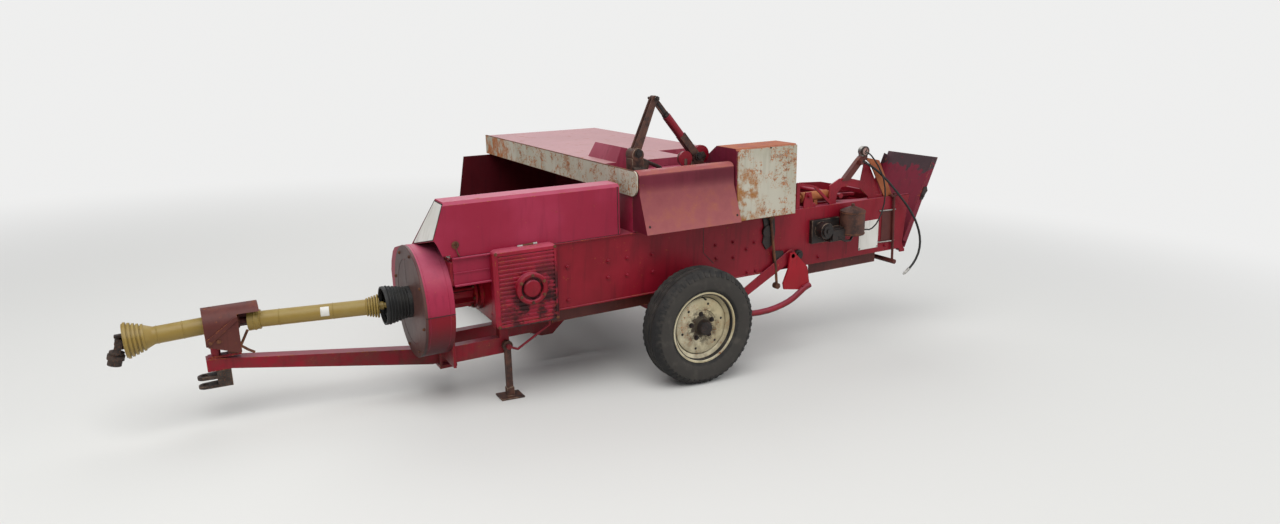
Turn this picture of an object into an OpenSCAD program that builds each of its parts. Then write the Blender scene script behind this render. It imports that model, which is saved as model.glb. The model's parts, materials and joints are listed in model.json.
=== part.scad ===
// Towed square baler: one bale chamber with plunger drive in front, cross feed and pickup
// on its right, standing on two wheels and a parking stand with its nose a little low.
// Machine frame: X to the rear along the chamber, Y to the machine's right from the chamber's
// middle plane, Z square to the chamber from the axle line. stance() sets it on the floor.

/* [Stance] */
// How far the nose is down, degrees
nose_down = 3; // [1:0.5:4]

/* [Wheels] */
// Tyre outside diameter
tyre_d = 720; // [700:2:740]
// Tyre section width
tyre_w = 190; // [170:2:200]
// Rim flange diameter
flange_d = 444; // [430:2:460]
// Left wheel's middle plane, to the left of the chamber's middle
left_track = 420; // [415:1:440]
// Right wheel's middle plane, to the right of the chamber's middle
right_track = 2310; // [2290:2:2350]
// Axle beam height and depth
axle_beam = 90; // [70:2:100]
// Spindle diameter
spindle_d = 45; // [38:1:55]

/* [Bale chamber] */
// Bale width inside
bale_w = 457; // [440:1:470]
// Bale height inside
bale_h = 356; // [340:1:366]
// Side wall thickness
side_t = 11.5; // [8:0.5:14]
// Floor and roof depth with their ribs
floor_t = 19.5; // [14:0.5:24]
// Chamber's underside above the axle line
chamber_z = 190; // [184:1:196]
// Chamber's front end, ahead of the axle
chamber_front = 870; // [860:1:880]
// Chamber's rear end at the floor, behind the axle
chamber_rear = 1910; // [1890:2:1930]
// How far the rear end leans in at the roof
rear_rake = 130; // [100:2:150]
// Roof ends here, behind the axle
roof_end = 1000; // [980:2:1060]

/* [Plunger hood and drive] */
// Hood height above the chamber
hood_h = 300; // [280:2:310]
// Hood top width
hood_top_w = 150; // [130:2:170]
// Sheet thickness of hoods and covers
sheet_t = 4; // [3:0.5:5]
// Flywheel cover radius
cover_r = 315; // [305:1:318]
// Flywheel cover depth
cover_depth = 161; // [150:1:175]
// Flywheel radius
flywheel_r = 265; // [240:1:280]
// Drive line height above the axle line
drive_z = 305; // [302:1:312]

/* [Knotters and needles] */
// Needle sweep radius
needle_r = 460; // [450:1:466]
// Needle bar width
needle_w = 36; // [28:1:40]
// Needle distance from the chamber's middle
needle_y = 115; // [100:1:125]
// Knotter shield length
shield_l = 470; // [440:2:480]
// Knotter shield height above the chamber
shield_h = 453; // [430:1:470]

/* [Feeder and pickup] */
// Feeder beam height
beam_h = 150; // [120:2:160]
// How far the feeder hood reaches to the rear of the beam
hood_reach = 985; // [900:5:1020]
// Pickup reel radius to the tine tips
reel_r = 205; // [190:1:210]
// Stripper band radius
band_r = 150; // [140:1:160]
// Number of stripper bands
bands = 22; // [14:1:23]
// Pickup wheel diameter
gauge_d = 300; // [280:2:320]

/* [Drawbar and drive shaft] */
// Drawbar width
bar_w = 80; // [70:1:90]
// Hitch pin hole diameter
hitch_d = 32; // [26:1:34]
// Splined bore diameter of the drive yoke
spline_d = 35; // [30:1:38]
// Guard tube diameter
guard_d = 90; // [80:1:94]

/* [Bale chute] */
// Chute length
chute_l = 716; // [680:2:740]
// Chute's lean from upright when it is folded up, degrees
chute_lean = 24; // [20:1:30]

/* [Hidden] */
$fn = 48;
fit = 0.3;
half_w = bale_w / 2 + side_t;
roof_z = chamber_z + bale_h + 2 * floor_t;
sheet_red = "#9c2f4b";
deep_red = "#7d1423";
rust = "#b5714a";
cream = "#b5af9d";
dark = "#2b2726";

chute_hinge_gap = 6;
chute_lip = 28;
lip_drop = 36;
chute_hinge_z = 172;
bar_y0 = 200;
pto_c = [-2560, bar_y0, 305];
front_pitch = -2.2;
cross_at = 452;
yoke_droop = 70;
end_r = 32;
end_l = 120;
nose = [cos(yoke_droop) * end_r - sin(yoke_droop) * end_l,
  cross_at + cos(yoke_droop) * end_l + sin(yoke_droop) * end_r];
yoke_nose_x = pto_c[0] - nose[1] * cos(front_pitch) + nose[0] * sin(front_pitch);
yoke_nose_z = pto_c[2] + nose[1] * sin(front_pitch) + nose[0] * cos(front_pitch);

// Place in the row frame: nose down, tyres on the floor, the box's middle at the origin
tip_x = chamber_rear + chute_hinge_gap + chute_lip * cos(chute_lean) + (chute_l - lip_drop) *
  sin(chute_lean);
tip_z = chute_hinge_z - chute_lip * sin(chute_lean) + (chute_l - lip_drop) * cos(chute_lean);
mid_x = (turned_x(tip_x, tip_z) + turned_x(yoke_nose_x, yoke_nose_z)) / 2;
mid_y = (right_track - left_track) / 2;
function turned_x(x, z) = x * cos(nose_down) - z * sin(nose_down);
function floor_z(x) = (-tyre_d / 2 - x * sin(nose_down)) / cos(nose_down);
function in_row(p) = [turned_x(p[0], p[2]) - mid_x, p[1] - mid_y,
  p[0] * sin(nose_down) + p[2] * cos(nose_down) + tyre_d / 2];
module stance() translate([-mid_x, -mid_y, tyre_d / 2]) rotate([0, -nose_down, 0]) children();

// A block between two corners
module block(x0, x1, y0, y1, z0, z1) translate([x0, min(y0, y1), z0]) cube([x1 - x0, abs(y1 - y0),
  z1 - z0]);
// A plate drawn in X and Z, from y0 to y1
module side_plate(outline, y0, y1)
  translate([0, y1, 0]) rotate([90, 0, 0]) linear_extrude(y1 - y0) polygon(outline);
// A plate drawn in Y and Z, from x0 to x1
module cross_plate(outline, x0, x1)
  translate([x0, 0, 0]) rotate([90, 0, 90]) linear_extrude(x1 - x0) polygon(outline);
// Round bars along X and Y, and between two points
module bar_x(x0, x1, y, z, d) translate([x0, y, z]) rotate([0, 90, 0]) cylinder(h = x1 - x0, d = d);
module bar_y(y0, y1, x, z, d) translate([x, y0, z]) rotate([-90, 0, 0]) cylinder(h = y1 - y0, d = d);
module rod(p, q, d) {
  v = q - p;
  translate(p) rotate([0, acos(v[2] / norm(v)), atan2(v[1], v[0])]) cylinder(h = norm(v), d = d, $fn = 24);
}
module bent_rod(points, d)
  for (i = [1 : len(points) - 1]) let (v = points[i] - points[i - 1], u = v / norm(v) * d / 4)
    rod(i > 1 ? points[i - 1] - u : points[0], i < len(points) - 1 ? points[i] + u : points[i], d);
// A pressed sheet: the outline's near side and the same line set in by the sheet thickness
function strip(line, set_in) = concat(line, [for (i = [len(line) - 1 : -1 : 0]) line[i] + set_in]);

// Wheels
bead_r = 203;
flange_r = flange_d / 2;
tyre_r = tyre_d / 2;
half_t = tyre_w / 2;
rim_half = 66;
flange_t = 6;
hub_bore = spindle_d + 2 * fit;
hub_r = 52;
disc_in = 44;
hub_back = 95;
module tyre_ring() {
  groove = 9;
  tread = [for (y = [-34, 0, 34]) each [[tyre_r, y - 6], [tyre_r - groove, y - 4], [tyre_r - groove,
    y + 4], [tyre_r, y + 6]]];
  wall = [[bead_r, rim_half], [flange_r, rim_half], [flange_r + 5, rim_half + 8], [tyre_r - 112,
    half_t - 7],
    [tyre_r - 78, half_t], [tyre_r - 45, half_t - 2], [tyre_r - 22, half_t - 13], [tyre_r - 8,
    half_t - 27],
    [tyre_r, half_t - 45]];
  rotate([90, 0, 0]) rotate_extrude($fn = 96)
    polygon(concat([for (p = wall) [p[0], -p[1]]], tread, [for (i = [len(wall) - 1 : -1 : 0]) wall[i]]));
}
// The disc faces -Y; the spindle comes from +Y
module rim_body() {
  out_y = -rim_half - flange_t;
  disc_y = out_y + disc_in;
  rotate([90, 0, 0]) difference() {
    union() {
      rotate_extrude($fn = 96) polygon([[bead_r - 6, -rim_half - flange_t], [flange_r,
        -rim_half - flange_t],
        [flange_r, -rim_half], [bead_r, -rim_half], [bead_r, rim_half], [flange_r, rim_half],
        [flange_r, rim_half + flange_t], [bead_r - 6, rim_half + flange_t]]);
      rotate_extrude($fn = 96) polygon([[bead_r - 6, -disc_y - 14], [bead_r - 6, -disc_y - 6], [165,
        -disc_y],
        [120, -disc_y + 4], [hub_r, -disc_y + 4], [hub_r, -disc_y - 4], [120, -disc_y - 4], [165,
        -disc_y - 8]]);
      translate([0, 0, -hub_back]) cylinder(h = hub_back - disc_y + 22, r = hub_r);
      translate([0, 0, -disc_y + 22]) cylinder(h = 22, r1 = 40, r2 = 34);
    }
    translate([0, 0, -hub_back - 1]) cylinder(h = hub_back + 1 - disc_y + 14, d = hub_bore);
    for (a = [0 : 60 : 300]) rotate([0, 0, a + 12]) translate([146, 0, -disc_y - 20]) cylinder(h = 40,
      d = 16);
  }
}
module tyre_left() stance() color(dark) translate([0, -left_track, 0]) tyre_ring();
module rim_left() stance() color(cream) translate([0, -left_track, 0]) rim_body();
module tyre_right() stance() color(dark) translate([0, right_track, 0]) tyre_ring();
module rim_right() stance() color(cream) translate([0, right_track, 0]) rotate([0, 0, 180]) rim_body();

// Axle beam under the chamber and the feeder, with its stubs and its seats
seat_y = 175;
rail_h = 80;
rail_half = 25;
rail_z = chamber_z - rail_h;
module axle() stance() color(deep_red) {
  h = axle_beam / 2;
  beam_l = -left_track + hub_back + 3;
  beam_r = right_track - hub_back - 3;
  block(-h, h, beam_l, beam_r, -h, h);
  spindle_end = 22 + disc_in;
  bar_y(-left_track - 72 + spindle_end - 8, beam_l, 0, 0, spindle_d);
  bar_y(beam_r, right_track + 72 - spindle_end + 8, 0, 0, spindle_d);
  for (y = [-seat_y, seat_y]) block(-60, 60, y - rail_half, y + rail_half, h, rail_z);
  for (y = [960, feeder_right - 120]) block(-40, 40, y - 20, y + 20, h, feeder_floor_z);
}
module chassis_rails() stance() color(deep_red) {
  for (y = [-seat_y, seat_y]) {
    block(-chamber_front, 200, y - rail_half, y + rail_half, rail_z, chamber_z);
    difference() {
      block(1050, 1670, y - rail_half, y + rail_half, rail_z, chamber_z);
      block(1049, 1671, y - sign(y) * (rail_half + 1), y + sign(y) * (rail_half - wall_t), rail_z + wall_t,
        chamber_z - wall_t);
    }
  }
}

// Bale chamber
rear_line = [[-chamber_front, chamber_z], [chamber_rear, chamber_z], [chamber_rear - rear_rake, roof_z],
  [-chamber_front, roof_z]];
feed_x = [-400, 200];
floor_slot = [355, 435];
roof_slot = [425, 560];
module chamber() stance() color(deep_red) {
  difference() {
    side_plate(rear_line, -half_w, half_w);
    side_plate([[-chamber_front - 1, chamber_z + floor_t], [chamber_rear + 1, chamber_z + floor_t],
      [chamber_rear - rear_rake + 5, roof_z - floor_t], [-chamber_front - 1, roof_z - floor_t]],
      -bale_w / 2, bale_w / 2);
    block(roof_end, chamber_rear, -bale_w / 2 + 50, bale_w / 2 - 50, roof_z - floor_t - 1, roof_z + 1);
    block(feed_x[0], feed_x[1], bale_w / 2 - 1, half_w + 1, chamber_z + floor_t, roof_z - floor_t);
    for (y = [-needle_y, needle_y]) {
      block(floor_slot[0], floor_slot[1], y - 14, y + 14, chamber_z - 1, chamber_z + floor_t + 1);
      block(roof_slot[0], roof_slot[1], y - 14, y + 14, roof_z - floor_t - 1, roof_z + 1);
    }
  }
  chute_hinge();
  ledge = 8;
  block(-855, -320, -half_w - ledge, -half_w, roof_z - 8, roof_z);
  block(-855, 640, -half_w - ledge, -half_w, chamber_z, chamber_z + 8);
}

// Frame ahead of the chamber: cross plate, side channels, low tubes and the drawbar's ears
plate_x = -1457;
plate_t = 15;
pivot_x = -1400;
ear_top = -36;
module front_frame() stance() color(deep_red) {
  difference() {
    block(plate_x, plate_x + plate_t, -half_w, 290, -60, roof_z - 25);
    translate([plate_x - 1, 30, drive_z]) rotate([0, 90, 0]) cylinder(h = plate_t + 2, d = 40 + 2 * fit);
    block(plate_x - 1, plate_x + plate_t + 1, -half_w - 1, -170, -61, 430);
    block(plate_x - 1, plate_x + plate_t + 1, -171, -60, 100, 240);
    block(plate_x - 1, plate_x + plate_t + 1, 130, 270, -61, ear_top);
  }
  for (s = [-1, 1]) {
    y0 = s < 0 ? -half_w : half_w - 40;
    block(plate_x + plate_t, -chamber_front, y0, y0 + 40, roof_z - 75, roof_z);
    block(-1235, -chamber_front, y0, y0 + 40, chamber_z - 30, chamber_z + 40);
  }
  block(plate_x + plate_t, -1120, -150, -90, -35, 60);
  block(-1175, -1125, -150, -90, 60, gear_low);
  block(plate_x + plate_t, -870, 90, 150, -35, 60);
  block(-960, -906, 90, 150, 60, gear_low);
  bar_y(stand_y - 20, -150, stand_px, stand_pz, stand_pin_d);
  difference() {
    union() {
      block(plate_x + plate_t, pivot_x + 45, 120, 280, ear_top, ear_top + 20);
      block(plate_x + plate_t, pivot_x + 45, 120, 280, -164, -144);
      block(plate_x, plate_x + plate_t, 120, 280, -164, -60);
    }
    block(plate_x - 1, plate_x + plate_t + 1, 130, 270, -144, ear_top);
  }
  translate([pivot_x, bar_y0, -150]) cylinder(h = 120, d = swing_pin_d);
}

// Gearbox between the side channels, with the flywheel's bearing tube in front
gear_x = [-1225, -875];
gear_low = 160;
gear_top = 555;
gear_round = 30;
drive_y = 30;
module gearbox() stance() color(deep_red) {
  side = half_w - 40;
  hull() for (x = [gear_x[0] + gear_round, gear_x[1] - gear_round], z = [gear_low + gear_round,
    gear_top - gear_round])
    bar_y(-side, side, x, z, 2 * gear_round, $fn = 32);
  bar_x(-1245, gear_x[0], drive_y, drive_z, 210);
  bar_x(-1272, -1256, drive_y, drive_z, 190);
  bar_x(plate_x + plate_t, -1245, drive_y, drive_z, 100);
  for (a = [0 : 60 : 300]) translate([plate_x + plate_t, drive_y, drive_z]) rotate([a, 0, 0])
    block(0, 190, -6, 6, 45, 82);
}
cover_x = [-1238, -860];
cover_z = [155, 602];
cover_t = 60;
module gearbox_cover() stance() color(sheet_red) {
  cx = (cover_x[0] + cover_x[1]) / 2;
  outer_y = -half_w - cover_t;
  cap = [cx + 18, 372];
  difference() {
    hull() {
      for (x = [cover_x[0] + 30, cover_x[1] - 30], z = [cover_z[0] + 30, cover_z[1] - 30]) {
        bar_y(outer_y + 12, -half_w, x, z, 60, $fn = 32);
        bar_y(outer_y, -half_w, x, z, 36, $fn = 32);
      }
    }
    block(cover_x[0] + 28, cover_x[1] - 22, outer_y - 1, outer_y + 8, cover_z[0] + 26, cover_z[1] - 30);
  }
  ribs = 16;
  pitch = (cover_z[1] - cover_z[0] - 56) / ribs;
  for (i = [0 : ribs - 1]) let (z = cover_z[0] + 26 + (i + 0.5) * pitch)
    block(cover_x[0] + 28, cover_x[1] - 22, outer_y + 1, outer_y + 8, z - pitch * 0.22, z + pitch * 0.22);
  difference() {
    bar_y(outer_y - 26, outer_y + 8, cap[0], cap[1], 180);
    bar_y(outer_y - 27, outer_y - 10, cap[0], cap[1], 128);
  }
  bar_y(outer_y - 18, outer_y - 10, cap[0], cap[1], 100);
}

// Flywheel in its cover
cover_front = plate_x - cover_depth;
module flywheel() stance() color(dark) {
  bar_x(plate_x - 110, plate_x - 30, drive_y, drive_z, 2 * flywheel_r, $fn = 72);
  difference() {
    bar_x(rear_c[0] + 4, plate_x - 110, drive_y, drive_z, 64);
    translate(rear_c) sphere(r = ball_r + fit, $fn = 48);
  }
  bar_x(plate_x - 30, plate_x + plate_t - 1, drive_y, drive_z, 40);
}
module flywheel_cover() stance() color(sheet_red) {
  difference() {
    union() {
      bar_x(cover_front, plate_x, drive_y, drive_z, 2 * cover_r, $fn = 96);
      cross_plate([[drive_y, 160], [370, 160], [420, 200], [428, 400], [400, 460], [344, 528], [290, 562],
        [100, drive_z + cover_r - 6], [drive_y, drive_z + cover_r]], cover_front, cover_front + sheet_t);
    }
    bar_x(cover_front + sheet_t, plate_x + 1, drive_y, drive_z, 2 * (cover_r - sheet_t), $fn = 96);
    bar_x(cover_front - 1, cover_front + sheet_t + 1, drive_y, drive_z, 130);
  }
}

// Plunger hood: upright near side, narrow top, sloping far side, slanted front
hood_z = roof_z + hood_h;
hood_rear = -430;
function hood_section(t) = [[-half_w + t, roof_z - (t > 0 ? 1 : 0)], [-half_w + t, hood_z - 18 - t * 0.4],
  [-half_w + 18, hood_z - t], [-half_w + hood_top_w, hood_z - t], [120 - t, roof_z + 15], [120 - t,
  roof_z - (t > 0 ? 1 : 0)]];
function hood_profile(t) = [[-1466 + t, hood_z + 1], [-1564 + t * 1.2, roof_z + 15 - (t > 0 ? 20 : 0)],
  [-1450 + t, roof_z + 15 - (t > 0 ? 20 : 0)], [-1450 + t, roof_z - 2], [hood_rear - t, roof_z - 2],
  [hood_rear - t, hood_z + 1]];
module plunger_hood() stance() color(sheet_red) difference() {
  intersection() {
    cross_plate(hood_section(0), -1600, hood_rear);
    side_plate(hood_profile(0), -300, 300);
  }
  intersection() {
    cross_plate(hood_section(sheet_t), -1600, hood_rear);
    side_plate(hood_profile(sheet_t), -300, 300);
  }
  bar_x(-1600, plate_x + plate_t, drive_y, drive_z, 2 * (cover_r + fit), $fn = 96);
  intersection() {
    cross_plate([[-300, 500], [-300, 701], [72, 615], [30, 560]], -1600, -1470);
    side_plate([[-1600, 500], [-1600, 720], [-1537, 720], [-1530, 687], [-1514, 657], [-1492, 600],
      [-1474, 550],
      [-1474, 500]], -300, 200);
  }
}
module plunger() stance() color(dark) {
  block(-800, -430, -bale_w / 2 + 8, bale_w / 2 - 8, chamber_z + floor_t,
    chamber_z + floor_t + bale_h - 8);
  bar_x(gear_x[1], -799, 0, 380, 60);
}

// Curved side shield of the feeder drive, on the chamber's near edge
shield_x0 = -345;
shield_x1 = 322;
shield_t = 5;
shield_top = 957;
shield_bend = 822;
shield_low = roof_z + 13;
shield_line = [[-half_w - 20, shield_top], [-half_w - 52, shield_top], [-half_w - 72, shield_top - 8],
  [-half_w - 84, shield_top - 22], [-half_w - 88, shield_top - 42], [-half_w - 88, shield_bend],
  [-half_w - 172, shield_low]];
module side_shield() stance() color(sheet_red) {
  inner = [[-half_w - 167, shield_low], [-half_w - 83, shield_bend - 2], [-half_w - 83, shield_top - 42],
    [-half_w - 79, shield_top - 24], [-half_w - 69, shield_top - 12], [-half_w - 52,
    shield_top - shield_t],
    [-half_w - 20, shield_top - shield_t]];
  cross_plate(concat(shield_line, inner), shield_x0, shield_x1);
  for (x = [shield_x0, shield_x1 - shield_t])
    cross_plate([[-half_w, shield_low], [-half_w - 167, shield_low], [-half_w - 83, shield_bend - 2],
      [-half_w - 83, shield_top - 42], [-half_w - 52, shield_top - shield_t], [-half_w,
      shield_top - shield_t]],
      x, x + shield_t);
}

// Feeder deck over the chamber's roof, between the side shield and the high hood
deck_z = 900;
deck_t = 5;
deck_x = [-345, 240];
deck_right = 100;
module feeder_deck() stance() color(sheet_red) {
  block(deck_x[0], deck_x[1], -half_w, -half_w + 6, roof_z, deck_z);
  block(beam_x[1], deck_x[1], -half_w, deck_right, deck_z, deck_z + deck_t);
  block(deck_x[0], deck_x[0] + 6, -half_w + 6, deck_right, roof_z, deck_z);
  block(deck_x[1] - 6, deck_x[1], -half_w + 6, deck_right, roof_z, deck_z);
}

// Cross feed housing on the chamber's right side, open to the pickup in front
feeder_floor_z = 150;
wheel_gap = 15;
feeder_right = right_track - tyre_w / 2 - wheel_gap;
housing_x = [-400, 245];
wall_t = 6;
hood_t = 5;
beam_x = [-362, -350];
beam_near = -half_w - 83;
beam_top = 957;
beam_low = beam_top - beam_h;
lip_drop_front = 7;
sill_h = 45;
module feeder_housing() stance() color(deep_red) {
  under_hood = beam_top - hood_t;
  sill = feeder_floor_z - sill_h;
  front = housing_x[0];
  rear = housing_x[1];
  block(front, rear, half_w, feeder_right, feeder_floor_z, feeder_floor_z + wall_t);
  block(rear - wall_t, rear, half_w, feeder_right, feeder_floor_z + wall_t, under_hood);
  block(rear - wall_t, rear, deck_right + hood_t, half_w, roof_z, under_hood);
  side_plate([[front - 30, feeder_floor_z + 150], [front - 240, feeder_floor_z + 270],
    [front - 175, beam_low - lip_drop_front], [beam_x[1], beam_low - lip_drop_front], [beam_x[1],
    under_hood],
    [rear - wall_t, under_hood], [rear - wall_t, feeder_floor_z + wall_t], [front,
    feeder_floor_z + wall_t]],
    feeder_right - wall_t, feeder_right);
  block(front, front + 40, half_w, feeder_right, sill, feeder_floor_z);
  block(front - 2 * wall_t, front, half_w, feeder_right - 40, sill, feeder_floor_z + wall_t);
  ear_t = 12;
  for (ear = [[pick_y[0] + 11, pick_y[0] - 4], [pick_y[1] - 11 - ear_t, pick_y[1] - 15]]) {
    side_plate([[front - 2, lift_z + 14], [front - 2, lift_z + 62], [lift_x + 16, lift_z + 36],
      [lift_x - 24, lift_z + 16], [lift_x - 24, lift_z - 16], [lift_x + 16, lift_z - 26], [front - 2,
      lift_z - 12]],
      ear[0], ear[0] + ear_t);
    bar_y(ear[1], ear[1] + 34, lift_x, lift_z, lift_pin_d);
  }
}
// Flat hood level with the beam. Its rear part starts beyond the knotter shield's swing
loft_near = 450;
loft_skirt = 95;
loft_drop = 350;
box_x = [-265, -138];
box_y = [deck_right, 495];
box_h = 93;
module feeder_hood() stance() color("#c78a97") {
  rear = beam_x[1] + hood_reach;
  under = beam_top - hood_t;
  joint = housing_x[1];
  block(beam_x[1], joint, deck_right, feeder_right, under, beam_top);
  block(joint - 1, rear, loft_near, feeder_right, under, beam_top);
  block(beam_x[1], joint - wall_t, deck_right, deck_right + hood_t, deck_z + deck_t, under);
  block(rear - hood_t, rear, loft_near, feeder_right, beam_top - loft_skirt, under);
  slope = [[joint, beam_top - loft_drop], [rear, beam_top - loft_skirt]];
  side_plate(strip(slope, [0, hood_t]), loft_near, feeder_right);
  for (y = [loft_near, feeder_right - hood_t])
    side_plate(concat([for (p = slope) p + [0, hood_t / 2]], [[rear, under + 1], [joint, under + 1]]), y,
      y + hood_t);
  lean = 37;
  hull() {
    block(box_x[0], box_x[1], box_y[0], box_y[1], beam_top, beam_top + 1);
    block(box_x[0] + lean, box_x[0] + lean + 1, box_y[0], box_y[1] - lean, beam_top, beam_top + box_h);
    block(box_x[1] - 1, box_x[1], box_y[0], box_y[1] - lean, beam_top, beam_top + box_h - 25);
  }
}
module feeder_beam() stance() color(cream) {
  block(beam_x[0], beam_x[1], beam_near, feeder_right + 40, beam_low, beam_top);
  block(beam_x[1], beam_x[1] + 45, deck_right + hood_t, feeder_right - wall_t, beam_low, beam_low + 8);
}

// Feeder arm linkage over the deck
arm_y = -130;
knob = [60, 985];
module feeder_arms() stance() color(deep_red) {
  top = [-128, 1352];
  front = [-262, 1040];
  rear = [165, 990];
  block(-300, -222, arm_y - 40, arm_y + 40, deck_z + deck_t, 1010);
  bar_y(arm_y - 44, arm_y + 44, front[0], front[1] - 10, 78);
  block(120, 210, arm_y - 30, arm_y + 30, deck_z + deck_t, 960);
  bar_y(arm_y - 34, arm_y + 34, rear[0], rear[1] - 15, 60);
  for (y = [arm_y - 22, arm_y + 10]) hull() {
    bar_y(y, y + 12, front[0], front[1], 52, $fn = 32);
    bar_y(y, y + 12, top[0], top[1], 34, $fn = 32);
  }
  hull() {
    bar_y(arm_y - 8, arm_y + 8, rear[0], rear[1], 46, $fn = 32);
    bar_y(arm_y - 8, arm_y + 8, top[0], top[1], 34, $fn = 32);
  }
  bar_y(arm_y - 34, arm_y + 34, top[0], top[1], 22);
  bar_y(arm_y - 55, arm_y - 30, knob[0], knob[1], 90);
  rod([knob[0], arm_y - 42, knob[1]], [knob[0], arm_y - 42, deck_z + deck_t], 40);
}

// Knotters on the roof, on one cross shaft, and the shield over them
needle_px = 840;
needle_pz = 285;
knot_x = needle_px - 140;
knot_z = 760;
module knotters() stance() color(dark) {
  bar_y(-half_w + 20, half_w - 20, knot_x, knot_z, 30);
  for (y = [-half_w + 14, half_w - 26]) side_plate([[knot_x - 40, roof_z], [knot_x + 60, roof_z],
    [knot_x + 26, knot_z + 24], [knot_x - 22, knot_z + 24]], y, y + 12);
  for (s = [-1, 1]) let (y = s * needle_y + 34) {
    bar_y(y, y + 16, knot_x, knot_z, 140);
    bar_y(y + 16, y + 30, knot_x, knot_z, 70);
    side_plate([[knot_x + 90, roof_z], [knot_x + 100, roof_z + 40], [knot_x + 20, knot_z + 10],
      [knot_x - 10, knot_z - 12], [knot_x + 60, roof_z]], y + 32, y + 44);
    bar_y(y - 20, y, knot_x - 60, knot_z - 70, 50);
    rod([knot_x - 60, y - 10, knot_z - 70], [knot_x - 100, y - 10, knot_z - 110], 14);
  }
  for (x = [lid_x[0] + 40, lid_x[1] - 108]) {
    for (dx = [0, 56]) cross_plate([[half_w, 520], [half_w, roof_z], [half_w + 16, lid_edge],
      [half_w + 16, lid_hinge[1] + 8],
      [half_w + 32, lid_hinge[1] + 8], [half_w + 32, lid_edge], [half_w + 22, 520]], x + dx, x + dx + 12);
    bar_x(x + 6, x + 62, lid_hinge[0], lid_hinge[1], lid_pin_d);
  }
}
lid_pin_d = 14;
lid_x = [330, 330 + shield_l];
lid_z = roof_z + shield_h;
lid_out = -half_w - 100;
lid_far = half_w + 10;
lid_low = 790;
lid_edge = 690;
lid_hinge = [half_w + 24, 700];
function lid_section(t) = [[lid_out + t, roof_z + fit - (t > 0 ? 1 : 0)], [lid_out + t,
  lid_z - 14 - t / 2], [lid_out + 14, lid_z - t],
  [lid_out + 215, lid_z - t], [lid_far - t * 0.4, lid_low], [lid_far - t * 0.4,
  roof_z + fit - (t > 0 ? 1 : 0)]];
module knotter_shield() stance() color(cream) difference() {
  union() {
    cross_plate(lid_section(0), lid_x[0], lid_x[1]);
    for (x = [lid_x[0] + 54, lid_x[1] - 94]) {
      bar_x(x, x + 40, lid_hinge[0], lid_hinge[1], 24);
      block(x, x + 40, lid_far - 2, lid_hinge[0], lid_hinge[1] - 8, lid_hinge[1] + 12);
    }
  }
  cross_plate(lid_section(sheet_t), lid_x[0] + sheet_t, lid_x[1] + 1);
  block(lid_x[0] - 1, lid_x[1] + 1, lid_far - 20, lid_far + 1, roof_z - 1, lid_edge);
  bar_x(lid_x[0], lid_x[1], lid_hinge[0], lid_hinge[1], lid_pin_d + 2 * fit);
}

// Needle yoke: two arms, a cross tube and two curved needles, up in the chamber at rest
pivot_d = 30;
needle_low = 22;
needle_high = 64;
arm_in = half_w + 12;
function on_needle(a, r) = [needle_px - r * cos(a), needle_pz - r * sin(a)];
module needle_yoke() stance() color(sheet_red) {
  tube = on_needle(needle_low + 6, needle_r);
  for (s = [-1, 1]) difference() {
    union() {
      hull() {
        bar_y(s > 0 ? arm_in : -arm_in - 12, s > 0 ? arm_in + 12 : -arm_in, needle_px, needle_pz, 76,
          $fn = 32);
        bar_y(s > 0 ? arm_in : -arm_in - 12, s > 0 ? arm_in + 12 : -arm_in, tube[0], tube[1], 56,
          $fn = 32);
      }
    }
    bar_y(s > 0 ? arm_in - 1 : -arm_in - 13, s > 0 ? arm_in + 13 : -arm_in + 1, needle_px, needle_pz,
      pivot_d + 2 * fit);
  }
  bar_y(-arm_in - 1, arm_in + 1, tube[0], tube[1], 46);
  for (y = [-needle_y, needle_y])
    translate([needle_px, y + 6, needle_pz]) rotate([90, 0, 0]) rotate([0, 0, 180 - needle_high])
      rotate_extrude(angle = needle_high + needle_low + 8, $fn = 96)
        translate([needle_r - needle_w / 2, 0]) square([needle_w, 12]);
}
module needle_bracket() stance() color(sheet_red) {
  for (s = [-1, 1]) {
    y0 = s > 0 ? half_w : -arm_in - 34;
    bar_y(y0, y0 + arm_in + 34 - half_w, needle_px, needle_pz, pivot_d);
    y1 = s > 0 ? arm_in + 22 : -arm_in - 34;
    side_plate([[needle_px - 28, needle_pz + 22], [needle_px + 12, needle_pz + 26], [966, 205], [966,
      150], [905, 95], [706, 100]], y1, y1 + 12);
    block(914, 962, s * (half_w - 40), s * (arm_in + 23), 150, chamber_z);
  }
  guard_y = -arm_in - 31;
  bent_rod([[720, guard_y, 112], [640, guard_y, 20], [520, guard_y, -20], [360, guard_y, -32], [45 + 14,
    guard_y, -14]], 28);
  block(45, 59, guard_y - 16, guard_y + 16, -34, 10);
}

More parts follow.
